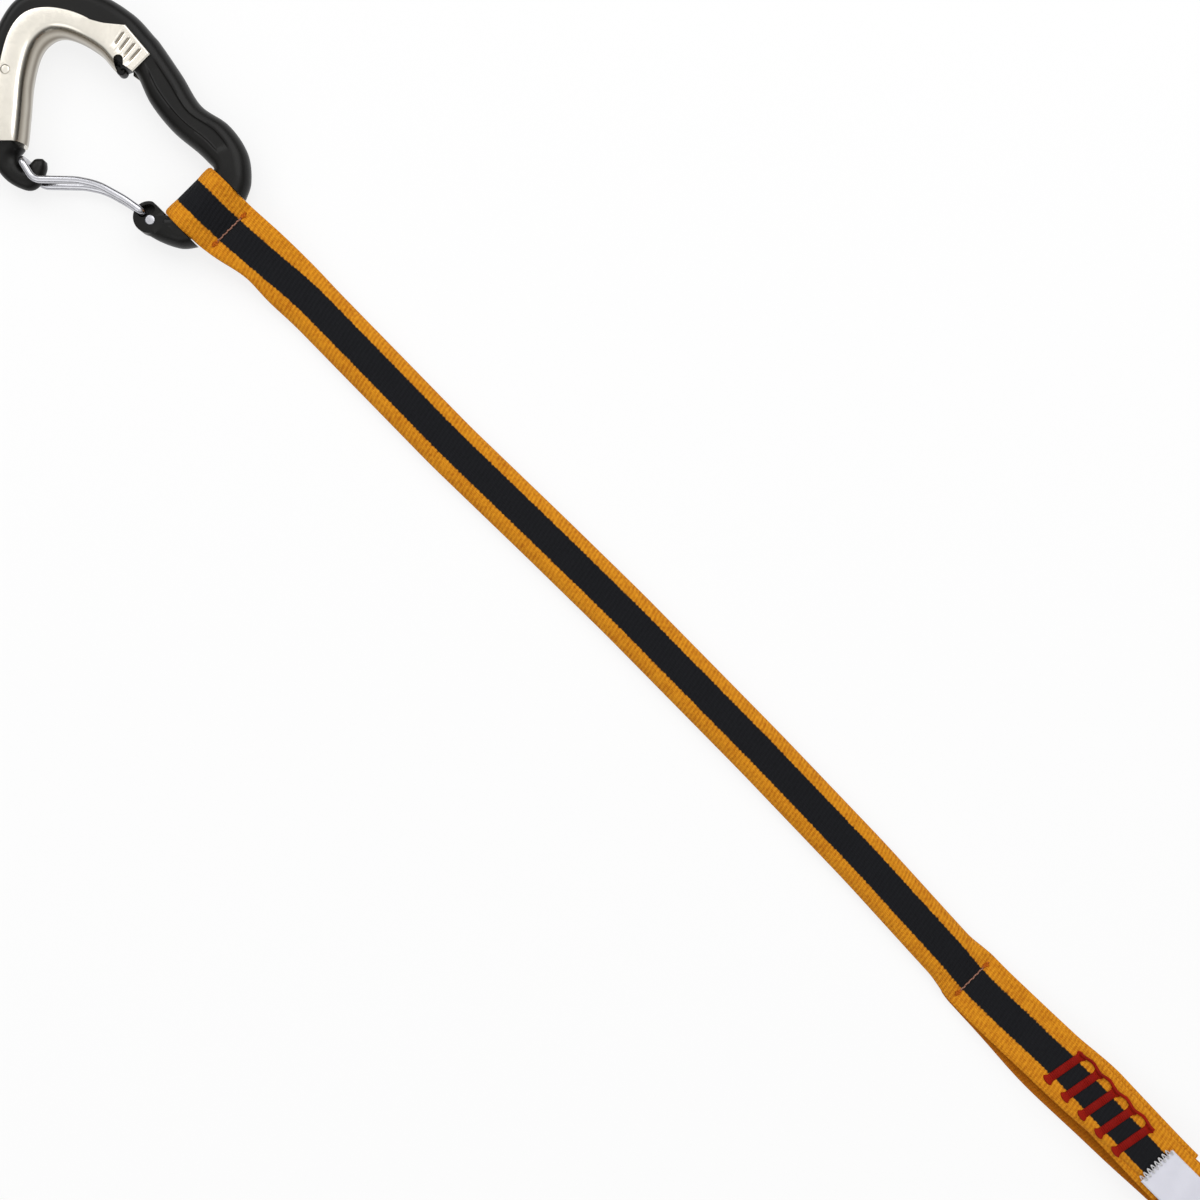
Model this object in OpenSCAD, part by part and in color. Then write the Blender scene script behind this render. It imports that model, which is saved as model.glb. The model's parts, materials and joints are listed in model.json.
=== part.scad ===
// Climbing quickdraw: a sewn webbing sling with a wire-gate carabiner at each end.
// The part lies flat: +X runs along the sling from the rope carabiner to the bolt carabiner,
// +Y is the spine side of both carabiners, +Z is up. All sizes are in millimetres.

/* [Sling] */
// Width of the webbing
webbing_w = 20; // [16:0.5:25]
// Thickness of one layer of webbing
webbing_t = 1.3; // [1:0.1:2]
// Distance from the rope rod to the stitch that closes the rope eye
rope_stitch_x = 10.5; // [9.5:0.1:16]
// Distance from the rope rod to the stitch where the bolt loop starts
bolt_stitch_x = 344.4; // [120:0.1:500]
// Distance from the bolt loop stitch to the bolt rod
bolt_loop_l = 118.4; // [112:0.1:180]
// Length over which the sling comes down from the rope eye to lie flat
ramp_l = 42; // [25:1:60]

/* [Sewing] */
// Distance from the bolt loop stitch to the first bar tack
tack_start = 38.8; // [30:0.1:42]
// Distance between two bar tacks
tack_pitch = 7.5; // [4:0.1:8]
// Length of a bar tack across the webbing
tack_l = 14.8; // [8:0.1:15.5]
// Width of a bar tack
tack_w = 2.2; // [1.2:0.1:3]
// Height of the sewn thread above the webbing
thread_h = 0.6; // [0.3:0.1:1]
// Slant of the bar tacks
tack_slant = 9.6; // [0:0.2:15]
// Length of one row of cross stitching
stitch_l = 15; // [8:0.5:15.5]
// Length of the webbing that laps under itself past the last tack and before the first
lap_end = 5; // [3:0.5:8]
// Distance from the last bar tack to the label
label_gap = 10.6; // [7:0.1:12]
// Length of the label along the webbing
label_l = 30; // [15:0.5:32]
// Width of the label
label_w = 14; // [8:0.5:15.5]
// Thickness of the label tape
label_t = 0.5; // [0.3:0.1:1]

/* [Carabiner] */
// Diameter of the round sling seat at the end of the body
rod_d = 10; // [8:0.1:11]
// Depth of the body over its spine and basket
body_depth = 11; // [9:0.1:12]
// Depth of the body at the gate eye and the nose hook
tongue_depth = 6; // [4.5:0.1:6.5]
// Depth of the recessed panel in each face of the spine
panel_depth = 0.6; // [0.2:0.1:1]
// Thickness of the steel wear insert on the two faces
flange_t = 1.05; // [0.6:0.05:1.5]
// Thickness of the wear insert where the rope runs
band_t = 1.4; // [0.8:0.1:2]
// Diameter of the rivet through the wear insert
rivet_d = 3; // [2:0.1:3.6]

/* [Wire gate] */
// Diameter of the gate wire
wire_d = 2.4; // [1.8:0.1:2.6]
// Distance between the two staggered wire ends in the gate eye
wire_stagger = 3.4; // [3.2:0.1:3.9]
// Angle through which the gate opens
gate_open = 45; // [20:1:45]

/* [Clearances] */
// Gap between the webbing and what moves in it
sling_gap = 0.3; // [0.2:0.05:0.5]
// Gap between the gate wire and the body beside it
gate_gap = 0.35; // [0.25:0.05:0.5]
// Radial gap of the gate pin in its bore
pin_fit = 0.06; // [0.03:0.01:0.1]
// Gap between the wear insert and the body
seat_fit = 0.05; // [0.02:0.01:0.1]

/* [Hidden] */
$fn = 64;

ORANGE = [0.86, 0.53, 0.09];
TACK_RED = [0.62, 0.1, 0.06];
LABEL_WHITE = [0.88, 0.88, 0.92];
BLACK = [0.1, 0.1, 0.1];
STEEL = [0.85, 0.83, 0.78];
WIRE = [0.66, 0.67, 0.7];

// The webbing eye round the sling seat, and the height at which both carabiners lie
eye_r_in = rod_d / 2 + sling_gap;
eye_r_out = eye_r_in + webbing_t;
basket_half = body_depth / 2 + seat_fit + flange_t;
mid_z = max(eye_r_out, basket_half);
bolt_x = bolt_stitch_x + bolt_loop_l;

// The plan of the carabiner is drawn for a 20 mm webbing, with the seat's axis at its origin.
// A wider or narrower webbing moves the spine side and the gate side apart or together.
DRAWN_SEAT = 10.4;
// Play of the webbing between the shoulders, beyond its gap on each side
SEAT_PLAY = 0.1;
seat_half = webbing_w / 2 + sling_gap + SEAT_PLAY;
function spread(y) = y + (seat_half - DRAWN_SEAT) * max(-1, min(1, y / DRAWN_SEAT));

// Loft stations of the body from the sling seat round the spine and the basket to the hook:
// outer edge x and y, inner edge x and y, half depth, black rim outside the steel insert.
// From TAB_END to NOSE_END the inner edge is the steel's, on which the rope runs.
TAB_END = 7;
NOSE_END = 15;
half = body_depth / 2;
tongue = tongue_depth / 2;
STATIONS = [
    [8.6, 10.4, -5.0, 10.4, half - 0.5, 5],
    [5.6, 16.0, -5.6, 10.6, half - 0.3, 5],
    [-1.5, 21.5, -7.6, 10.6, half - 0.2, 5],
    [-11.5, 23.4, -12.5, 10.5, half, 5],
    [-22.0, 21.6, -22.5, 9.6, half, 5],
    [-33.0, 24.1, -33.5, 10.8, half, 5],
    [-44.0, 26.2, -44.4, 14.3, half, 8],
    [-48.0, 26.6, -47.8, 10.4, half, 11],
    [-57.2, 26.8, -55.0, 10.5, half, 10.3],
    [-69.0, 23.7, -62.5, 8.8, half, 9.1],
    [-79.2, 15.9, -67.9, 5.9, half, 7.6],
    [-85.6, 6.5, -69.9, 2.0, half, 7.2],
    [-84.9, -3.8, -69.2, -3.2, half, 6.2],
    [-79.0, -16.0, -64.6, -10.8, half, 6.2],
    [-70.3, -26.2, -57.6, -19.2, half, 6.0],
    [-60.5, -34.4, -52.2, -26.0, half - 0.3, 5.6],
    [-54.5, -37.4, -51.1, -30.0, tongue, 4],
    [-48.0, -38.0, -49.4, -31.5, tongue, 4],
    [-41.8, -35.7, -47.3, -31.4, tongue, 4],
    [-40.2, -32.0, -47.0, -29.6, tongue, 4],
    [-42.0, -27.2, -46.9, -27.0, tongue - 0.3, 4],
    [-43.8, -25.4, -45.3, -25.3, tongue - 1.2, 4]];

// Loft stations of the arm from the sling seat to the gate eye, in the same form
ARM_STATIONS = [
    [8.4, -10.4, -5.0, -10.4, half - 0.5, 5],
    [5.2, -14.4, -5.8, -10.6, half - 0.7, 5],
    [-1.0, -17.6, -7.4, -10.6, half - 1.4, 5],
    [-8.2, -19.5, -9.0, -10.6, tongue, 5]];

// Gate eye, gate pivot and the way the wire runs from the pivot to the nose
eye_c = [-8.2, spread(-14.6)];
EYE_R = 5;
SPOTFACE_R = 5.5;
pivot = [-7.2, spread(-14.95)];
wire_z = tongue + gate_gap + wire_d / 2;
wire_r = wire_d / 2;
pin_r = wire_r + pin_fit;
slot_r = wire_r + gate_gap;
SLOT_FLOOR = 0;
rivet_c = [-70.8, spread(-13.6)];

// How finely the lofts, the wire and the thread are cut
SUB = 4;
SECTION_STEP = 30;
WIRE_SIDES = 8;
BEND_STEP = 22;
THREAD_SIDES = 24;

// Point at parameter t of the smooth curve through p1 and p2
function catmull(p0, p1, p2, p3, t) =
    0.5 * (2 * p1 + (p2 - p0) * t + (2 * p0 - 5 * p1 + 4 * p2 - p3) * t ^ 2
        + (3 * p1 - p0 - 3 * p2 + p3) * t ^ 3);
// Station at any place u of a list of stations, with both edges spread for the webbing
function station(rows, u) =
    let (n = len(rows) - 1, i = min(floor(u), n - 1))
    let (s = catmull(rows[max(i - 1, 0)], rows[i], rows[i + 1], rows[min(i + 2, n)], u - i))
    [s[0], spread(s[1]), s[2], spread(s[3]), s[4], s[5]];
function smooth(x) = let (t = max(0, min(1, x))) t * t * (3 - 2 * t);
// Section point at distance q from the outer edge of a station, and at height z
function on_station(s, q, z) =
    let (o = [s[0], s[1]], e = [s[2], s[3]] - o)
    concat(o + e / norm(e) * q, [z]);
function width(s) = norm([s[2] - s[0], s[3] - s[1]]);

// Closed section of the body: rounded outer edge, flat faces with a recess, rounded inner edge
EDGE_ROUND = 4.2;
INSERT_ROUND = 3.2;
// Largest part of the width that one rounded edge takes
EDGE_SHARE = 0.45;
// Where the walls of the recess start and end, as parts of the flat face
PANEL_WALLS = [0.05, 0.15, 0.85, 0.95];
function face_z(k, d, recess) = (k == 1 || k == 2) ? d - recess : d;
function body_section(s, seat, recess) =
    let (w = width(s) - seat * (band_t + seat_fit), a = min(EDGE_ROUND, EDGE_SHARE * w))
    let (b = min(EDGE_ROUND + seat * (INSERT_ROUND - band_t - EDGE_ROUND), EDGE_SHARE * w))
    let (d = s[4], span = w - a - b, turn = SECTION_STEP)
    concat(
        [for (k = [-3:3]) on_station(s, w - b + b * cos(turn * k), d * sin(turn * k))],
        [for (k = [3:-1:0]) on_station(s, a + span * PANEL_WALLS[k], face_z(k, d, recess))],
        [for (k = [3:9]) on_station(s, a + a * cos(turn * k), d * sin(turn * k))],
        [for (k = [0:3]) on_station(s, a + span * PANEL_WALLS[k], -face_z(k, d, recess))]);

// Open channel section of the wear insert: outer surface, then inner surface
function insert_section(s) =
    let (w = width(s), d = s[4] + seat_fit, b = INSERT_ROUND, f = flange_t, turn = SECTION_STEP)
    concat(
        [on_station(s, s[5], -d - f)],
        [for (k = [-3:3]) on_station(s, w - b + b * cos(turn * k), (d + f) * sin(turn * k))],
        [on_station(s, s[5], d + f), on_station(s, s[5], d)],
        [for (k = [3:-1:-3])
            on_station(s, w - b + (b - band_t) * cos(turn * k), d * sin(turn * k))],
        [on_station(s, s[5], -d)]);

// Triangles that join ring after ring of m points
function skin(rings, m) = [
    for (i = [0:rings - 2], j = [0:m - 1], half_quad = [0, 1])
        let (a = i * m + j, b = i * m + (j + 1) % m, c = a + m, d = b + m)
        half_quad == 0 ? [a, c, d] : [a, d, b]];
function flat(lists) = [for (l = lists, p = l) p];
// Centre of a ring of points
function ring_centre(ring) = [for (k = [0:2]) ring_sum(ring, k) / len(ring)];
function ring_sum(ring, k, i = 0) = i == len(ring) ? 0 : ring[i][k] + ring_sum(ring, k, i + 1);

// Solid through a list of closed rings, with a fan of triangles over each end
module fan_loft(rings) {
    m = len(rings[0]);
    n = len(rings);
    last = (n - 1) * m;
    polyhedron(
        points = concat(flat(rings), [ring_centre(rings[0]), ring_centre(rings[n - 1])]),
        faces = concat(
            skin(n, m),
            [for (j = [0:m - 1]) [n * m, j, (j + 1) % m]],
            [for (j = [0:m - 1]) [n * m + 1, last + (j + 1) % m, last + j]]));
}

// Solid through channel rings, whose ends are closed between the outer and the inner surface
module channel_loft(rings) {
    m = len(rings[0]);
    n = len(rings);
    last = (n - 1) * m;
    polyhedron(
        points = flat(rings),
        faces = concat(
            skin(n, m),
            [for (j = [0:m / 2 - 2], f = [0, 1])
                f == 0 ? [j, j + 1, m - 2 - j] : [j, m - 2 - j, m - 1 - j]],
            [for (j = [0:m / 2 - 2], f = [0, 1])
                f == 0 ? [last + j, last + m - 2 - j, last + j + 1]
                    : [last + j, last + m - 1 - j, last + m - 2 - j]]));
}

// 1 where the body's inner edge stands back under the insert, 0 away from it
function seat_at(u) = smooth((u - TAB_END) * SUB + 1) * smooth((NOSE_END - u) * SUB + 1);
// Depth of the face panel at place u of the spine
PANEL_FROM = 2.25;
PANEL_TO = 5.75;
function recess_at(u) =
    panel_depth * smooth((u - PANEL_FROM) * SUB) * smooth((PANEL_TO - u) * SUB);

// Spine, basket and nose in one loft
module frame_loft() {
    n = (len(STATIONS) - 1) * SUB;
    fan_loft([for (k = [0:n])
        let (u = k / SUB)
        body_section(station(STATIONS, u), seat_at(u), recess_at(u))]);
}

// Arm that carries the gate eye
module arm_loft() {
    n = (len(ARM_STATIONS) - 1) * SUB;
    fan_loft([for (k = [n:-1:0]) body_section(station(ARM_STATIONS, k / SUB), 0, 0)]);
}

// Lug on the spine that the tab of the insert butts against
LUG = [-46.4, 12.0];
LUG_R = 1.2;
LUG_ROOT = 17;
LUG_HALF = 4.8;
module insert_stop() {
    translate([LUG[0], spread(LUG[1]), -LUG_HALF]) {
        cylinder(r = LUG_R, h = 2 * LUG_HALF);
        translate([-LUG_R, 0, 0]) cube([2 * LUG_R, LUG_ROOT - LUG[1], 2 * LUG_HALF]);
    }
}

// Arc slot in the gate eye in which the free wire end swings as the gate opens
module wire_slot() {
    deep = tongue_depth;
    translate([pivot[0], pivot[1], SLOT_FLOOR]) {
        rotate([0, 0, 180 - gate_open])
            rotate_extrude(angle = gate_open)
                translate([wire_stagger - slot_r, 0]) square([2 * slot_r, deep]);
        for (a = [180 - gate_open, 180])
            rotate([0, 0, a]) translate([wire_stagger, 0, 0]) cylinder(r = slot_r, h = deep);
    }
}

// Round bar that the sling sits on, rooted in the shoulders on both sides
ROD_ROOT = 2;
module sling_seat() {
    rotate([90, 0, 0]) cylinder(d = rod_d, h = 2 * (seat_half + ROD_ROOT), center = true);
}

// Cylinder through the whole depth at a place in plan
module through(place, r) {
    translate([place[0], place[1], 0]) cylinder(r = r, h = 2 * body_depth, center = true);
}

// Arm and gate eye, cut flat beside the webbing so that the carabiner swings clear of the sling
SWING_REACH = 14;
module gate_arm() {
    clear = webbing_w / 2 + sling_gap;
    difference() {
        union() {
            arm_loft();
            translate([eye_c[0], eye_c[1], -tongue]) cylinder(r = EYE_R, h = tongue_depth);
        }
        translate([-SWING_REACH, -clear, -body_depth])
            cube([2 * SWING_REACH, 2 * clear, 2 * body_depth]);
    }
}

// Forged body with its sling seat, gate eye, bore for the gate pin and hole for the rivet
module carabiner_body() {
    color(BLACK) difference() {
        union() {
            frame_loft();
            sling_seat();
            gate_arm();
            insert_stop();
        }
        for (side = [-1, 1])
            translate([eye_c[0], eye_c[1], side * (tongue + half / 2)])
                cylinder(r = SPOTFACE_R, h = half, center = true);
        through(pivot, pin_r);
        wire_slot();
        through(rivet_c, rivet_d / 2);
    }
}

// Steel channel that lines the basket, with a wide grooved tab on each face of the spine
TAB = [[-42.6, 21.5], [-42.5, 13.9], [-47.5, 12.8], [-58.5, 12.6], [-61.1, 16.4], [-54.3, 22.5]];
GROOVES = [-53.2, -50.9, -48.6, -46.3];
GROOVE_W = 0.9;
GROOVE_DEPTH = 0.4;
GROOVE_Y = [14.5, 30];
module wear_insert() {
    color(STEEL) difference() {
        union() {
            channel_loft([for (k = [TAB_END * SUB:NOSE_END * SUB])
                insert_section(station(STATIONS, k / SUB))]);
            for (z = [half + seat_fit, -basket_half])
                translate([0, 0, z]) linear_extrude(height = flange_t)
                    polygon([for (p = TAB) [p[0], spread(p[1])]]);
        }
        for (x = GROOVES, side = [-1, 1])
            translate([x - GROOVE_W / 2, spread(GROOVE_Y[0]), side * basket_half - GROOVE_DEPTH])
                cube([GROOVE_W, GROOVE_Y[1] - GROOVE_Y[0], 2 * GROOVE_DEPTH]);
        through(rivet_c, rivet_d / 2);
    }
}

// Flush rivet through both flanges and the body
module insert_rivet() {
    long = 2 * basket_half - 2 * seat_fit;
    color(STEEL) translate([rivet_c[0], rivet_c[1], -long / 2])
        cylinder(d = rivet_d - 2 * seat_fit, h = long);
}

// Gate wire in plan, from the pivot to the U-bend behind the hook, each with its bend radius
U_BEND = [-48.9, -29.9];
WIRE_RUN = [[-17.0, -16.0, 30], [-26.0, -18.6, 20], [-31.5, -22.2, 20], [-41.4, -31.7, 4]];
BEND_R = 1.5;
U_RADIUS = 2.6;
run = [for (p = WIRE_RUN) [p[0], spread(p[1]), p[2]]];
// The wire's way: pin, lower run, U-bend, upper run, free end in the arc slot
wire_way = concat(
    [[pivot[0], pivot[1], 0, 0], [pivot[0], pivot[1], -wire_z, BEND_R]],
    [for (p = run) [p[0], p[1], -wire_z, p[2]]],
    [for (side = [-1, 1]) [U_BEND[0], spread(U_BEND[1]), side * wire_z, U_RADIUS]],
    [for (k = [len(run) - 1:-1:0]) [run[k][0], run[k][1], wire_z, run[k][2]]],
    [[pivot[0] - wire_stagger, pivot[1], wire_z, BEND_R],
        [pivot[0] - wire_stagger, pivot[1], SLOT_FLOOR + gate_gap, 0]]);

function xyz(p) = [p[0], p[1], p[2]];
function unit(v) = v / norm(v);
// Turn of the way, in degrees, below which a corner stays sharp
STRAIGHT = 0.5;
// Points of the arc that rounds the corner q between p and r with radius q[3]
function corner(p, q, r) =
    let (a = unit(xyz(p) - xyz(q)), b = unit(xyz(r) - xyz(q)))
    let (turn = acos(max(-1, min(1, -a * b))), steps = max(1, ceil(turn / BEND_STEP)))
    let (reach = q[3] * tan(turn / 2), mid = unit(a + b) * q[3] / cos(turn / 2))
    let (from = a * reach - mid, to = b * reach - mid)
    turn < STRAIGHT ? [xyz(q)] : [for (k = [0:steps])
        xyz(q) + mid
        + (from * sin(turn * (1 - k / steps)) + to * sin(turn * k / steps)) / sin(turn)];
// Way with every inner corner rounded
function rounded(way) = concat(
    [xyz(way[0])],
    [for (i = [1:len(way) - 2], p = corner(way[i - 1], way[i], way[i + 1])) p],
    [xyz(way[len(way) - 1])]);
function along(points, i) = unit(points[min(i + 1, len(points) - 1)] - points[max(i - 1, 0)]);
function square_to(n, t) = unit(n - (n * t) * t);
// A direction that is not along the first piece of the wire
WIRE_SIDEWAYS = [1, 0, 0];
// Rings of a round tube along a list of points, carried along without twist
function tube_rings(points, r, sides) =
    let (last = len(points) - 1)
    let (normals = [for (i = 0, n = square_to(WIRE_SIDEWAYS, along(points, 0)); i <= last;
        i = i + 1, n = i > last ? n : square_to(n, along(points, i))) n])
    [for (i = [0:last])
        let (n = normals[i], b = cross(along(points, i), n))
        [for (k = [0:sides - 1])
            let (a = 360 * k / sides)
            points[i] + r * (cos(a) * n + sin(a) * b)]];

// Bent wire gate with a true round pin at its pivot; the swept wire stays inside that pin
WIRE_SUNK = 0.985;
module wire_gate() {
    color(WIRE) union() {
        fan_loft(tube_rings(rounded(wire_way), wire_r * WIRE_SUNK, WIRE_SIDES));
        translate([pivot[0], pivot[1], -tongue]) cylinder(r = wire_r, h = tongue_depth);
    }
}

// Side view of the sling: the rope eye, the double middle and the bolt loop
rope_slope = asin(eye_r_in / rope_stitch_x);
loop_aim = atan2(mid_z - webbing_t, bolt_loop_l);
loop_open = asin(eye_r_in / norm([bolt_loop_l, mid_z - webbing_t]));
loop_top = loop_aim + loop_open;
loop_low = loop_aim - loop_open;
TACKS = 5;
function tack_x(i) = tack_start + (i - 1) * tack_pitch;
lap_from = tack_x(1) - lap_end;
lap_to = tack_x(TACKS) + lap_end;
rope_rod = [0, mid_z];
bolt_rod = [bolt_x, mid_z];
eye_apex = [rope_stitch_x, mid_z];
loop_apex = [bolt_stitch_x, webbing_t];
RAMP_STEPS = 12;
// Step of length r square to a line of slope a, and along it
function above(a, r) = r * [-sin(a), cos(a)];
function ahead(a, r) = r * [cos(a), sin(a)];
// One face of the double webbing as it comes down from the rope eye to lie flat
function ramp_edge(side) =
    let (start = rope_stitch_x + webbing_t * tan(rope_slope / 2))
    [for (k = [0:RAMP_STEPS])
        [start + ramp_l * k / RAMP_STEPS,
            mid_z + (webbing_t - mid_z) * smooth(k / RAMP_STEPS) + side * webbing_t]];
function backwards(list) = [for (i = [len(list) - 1:-1:0]) list[i]];

// Points of an arc round c
ARC_STEPS = 30;
function arc(c, r, from, to) = [for (k = [0:ARC_STEPS])
    let (a = from + (to - from) * k / ARC_STEPS) c + r * [cos(a), sin(a)]];
function rope_arc(r) = arc(rope_rod, r, 270 + rope_slope, 90 - rope_slope);
function bolt_arc(r) = arc(bolt_rod, r, 90 + loop_top, loop_low - 90);

// Outer face of the whole sling, then the hole of each end
sling_outer = concat(
    rope_arc(eye_r_out),
    ramp_edge(1),
    [loop_apex + [-webbing_t * tan(loop_top / 2), webbing_t]],
    bolt_arc(eye_r_out),
    [loop_apex + [webbing_t * tan(loop_low / 2), -webbing_t]],
    backwards(ramp_edge(-1)));
rope_eye_hole = concat(rope_arc(eye_r_in), [eye_apex]);
// The lapped end of the strip lies under the upper layer of the bolt loop
bolt_loop_hole = concat(
    [loop_apex,
        loop_apex + ahead(loop_top, lap_from),
        loop_apex + ahead(loop_top, lap_from) - above(loop_top, webbing_t),
        loop_apex + ahead(loop_top, lap_to) - above(loop_top, webbing_t),
        loop_apex + ahead(loop_top, lap_to)],
    bolt_arc(eye_r_in));

module sling_outline() {
    difference() {
        polygon(sling_outer);
        polygon(rope_eye_hole);
        polygon(bolt_loop_hole);
    }
}

module sling_webbing() {
    color(ORANGE) rotate([90, 0, 0])
        linear_extrude(height = webbing_w, center = true) sling_outline();
}

// Frame on the upper face of the bolt loop: x along the webbing from the stitch, z out of it
module on_loop() {
    translate([bolt_stitch_x, 0, webbing_t]) rotate([0, -loop_top, 0])
        translate([0, 0, webbing_t]) children();
}

// Row of short stitches across the webbing, on one thinner thread that goes through them all
STITCHES = 7;
STITCH_SHARE = 0.85;
CORE_SHARE = 0.6;
module stitch_row(length, thread) {
    pitch = length / STITCHES;
    translate([0, 0, thread / 2]) rotate([90, 0, 0]) {
        cylinder(d = CORE_SHARE * thread, h = length - pitch, center = true, $fn = THREAD_SIDES);
        for (k = [0:STITCHES - 1])
            translate([0, 0, (k - (STITCHES - 1) / 2) * pitch])
                cylinder(d = thread, h = STITCH_SHARE * pitch, center = true, $fn = THREAD_SIDES);
    }
}

module rope_eye_stitch() {
    x = rope_stitch_x + webbing_t * sin(rope_slope) + thread_h;
    color(TACK_RED) translate([x, 0, mid_z + webbing_t]) stitch_row(stitch_l, thread_h);
}

module bolt_loop_stitch() {
    color(TACK_RED) translate([bolt_stitch_x - thread_h, 0, 2 * webbing_t])
        stitch_row(stitch_l, thread_h);
}

// One bar tack: a long flat pad of thread with round ends, slanted across the webbing
module bartack(i) {
    straight = tack_l - tack_w;
    color(TACK_RED) on_loop() translate([tack_x(i), 0, 0]) rotate([0, 0, -tack_slant])
        linear_extrude(height = thread_h) {
            square([tack_w, straight], center = true);
            for (side = [-1, 1])
                translate([0, side * straight / 2]) circle(d = tack_w, $fn = THREAD_SIDES);
        }
}

// Thread that runs from tack to tack over their spine-side ends
module tack_jump_thread() {
    y = (tack_l - tack_w) / 2 * cos(tack_slant);
    shift = (tack_l - tack_w) / 2 * sin(tack_slant);
    long = (TACKS - 1) * tack_pitch + tack_w;
    color(TACK_RED) on_loop()
        translate([(tack_x(1) + tack_x(TACKS)) / 2 + shift, y, 3 * thread_h / 2 + seat_fit])
            rotate([0, 90, 0])
                cylinder(d = thread_h, h = long, center = true, $fn = THREAD_SIDES);
}

// Label tape, with a hem at each end and a bare strip beside its stitches
label_from = tack_x(TACKS) + label_gap;
LABEL_HEM = 1.5;
LABEL_SIDE = 1;
module label() {
    color(LABEL_WHITE) on_loop() translate([label_from, -label_w / 2, 0])
        cube([label_l, label_w, label_t]);
}

// Row of thread that holds the label near its first or its second end
module label_stitch(i) {
    x = i == 1 ? label_from + LABEL_HEM : label_from + label_l - LABEL_HEM;
    color(LABEL_WHITE) on_loop()
        translate([x, 0, label_t]) stitch_row(label_w - 2 * LABEL_SIDE, thread_h / 2);
}

// Outline points of the body, from which the middle of the whole part is worked out
outline = [for (k = [0:(len(STATIONS) - 1) * SUB]) station(STATIONS, k / SUB)];
mid_x = bolt_x / 2;
mid_y = (min([for (s = outline) s[1]]) + max([for (s = outline) s[1]])) / 2;

module rope_end() {
    translate([0, 0, mid_z]) children();
}

module bolt_end() {
    translate([bolt_x, 0, mid_z]) rotate([0, 180, 0]) children();
}

translate([-mid_x, -mid_y, 0]) {
    sling_webbing();
    rope_eye_stitch();
    bolt_loop_stitch();
    for (i = [1:TACKS])
        bartack(i);
    tack_jump_thread();
    label();
    label_stitch(1);  // label_stitch_1
    label_stitch(2);  // label_stitch_2
    rope_end() carabiner_body();  // rope_body
    rope_end() wear_insert();  // rope_wear_insert
    rope_end() insert_rivet();  // rope_insert_rivet
    rope_end() wire_gate();  // rope_wire_gate
    bolt_end() carabiner_body();  // bolt_body
    bolt_end() wear_insert();  // bolt_wear_insert
    bolt_end() insert_rivet();  // bolt_insert_rivet
    bolt_end() wire_gate();  // bolt_wire_gate
}
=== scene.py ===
"""Looks of a climbing quickdraw: a sewn webbing sling with a wire-gate carabiner at each end.

Shapes are worked out in millimetres, in the frames that the part's source uses, and put into
the shared row frame in metres when their meshes are made.
"""

import json
import logging
import math
from dataclasses import dataclass, field
from enum import Enum

import bmesh
import bpy
import numpy as np
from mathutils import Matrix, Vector

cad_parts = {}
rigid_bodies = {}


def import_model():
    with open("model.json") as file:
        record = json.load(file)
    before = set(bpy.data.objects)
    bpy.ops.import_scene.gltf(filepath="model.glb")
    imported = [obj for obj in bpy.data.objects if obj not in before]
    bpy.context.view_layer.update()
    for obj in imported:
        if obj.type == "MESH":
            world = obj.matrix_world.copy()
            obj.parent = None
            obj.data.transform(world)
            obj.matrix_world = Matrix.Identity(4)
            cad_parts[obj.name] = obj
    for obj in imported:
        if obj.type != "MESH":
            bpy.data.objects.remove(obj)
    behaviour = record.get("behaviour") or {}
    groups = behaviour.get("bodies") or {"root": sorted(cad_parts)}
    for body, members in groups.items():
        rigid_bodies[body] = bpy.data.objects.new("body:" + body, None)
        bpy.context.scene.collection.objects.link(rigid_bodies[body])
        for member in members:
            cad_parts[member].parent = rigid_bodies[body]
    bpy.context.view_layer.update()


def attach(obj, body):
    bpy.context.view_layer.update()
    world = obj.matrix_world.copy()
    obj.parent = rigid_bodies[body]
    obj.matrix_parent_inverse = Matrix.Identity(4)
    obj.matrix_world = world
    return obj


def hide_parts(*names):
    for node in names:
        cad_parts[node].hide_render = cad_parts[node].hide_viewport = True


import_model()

LOG = logging.getLogger("quickdraw")
MM = 0.001
UV_NAME = "strip"
FULL_TURN = 2 * np.pi
# Middle of the part's box in x and y, from the rope rod, and the height at which both rods lie
ROW_MIDDLE = (231.4, -5.56172)
ROD_HEIGHT = 6.6
Array = np.ndarray
Socket = bpy.types.NodeSocket
Colour = tuple[float, float, float]
Place = tuple[float, float, float]


class End(Enum):
    """The two ends of the sling, named as the CAD nodes are."""

    ROPE = "rope"
    BOLT = "bolt"


class Slot(Enum):
    """The record's material slots."""

    WEBBING = "webbing"
    THREAD = "thread"
    LABEL = "label"
    BODY = "forged_body"
    STEEL = "wear_steel"
    WIRE = "gate_wire"


class Step(Enum):
    """What a step does with a solid: join it to the work, or take it away."""

    JOIN = "UNION"
    TAKE = "DIFFERENCE"


# Meshes


@dataclass
class Shell:
    """Points and faces of one closed surface, with an optional map of the strip it follows."""

    points: Array
    faces: list[list[int]]
    strip: Array | None = None


def spot(*values: float | list[float]) -> Array:
    """Dataclass field that holds a place, a step or a table as an array."""
    return field(default_factory=lambda: np.array(values))


def smooth(x: Array) -> Array:
    """Ease from 0 to 1 as the cubic 3 t t - 2 t t t of x held between 0 and 1.

    Args:
        x: Any values.

    Returns:
        The eased values.
    """
    t = np.clip(x, 0.0, 1.0)
    return t * t * (3 - 2 * t)


def bell(x: Array, middle: float, width: float) -> Array:
    """Bell curve exp(-((x - middle) / width) squared).

    Args:
        x: Places.
        middle: Place of the top.
        width: Distance at which the curve falls to 1 / e.

    Returns:
        Heights between 0 and 1.
    """
    return np.exp(-(((x - middle) / width) ** 2))


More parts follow.
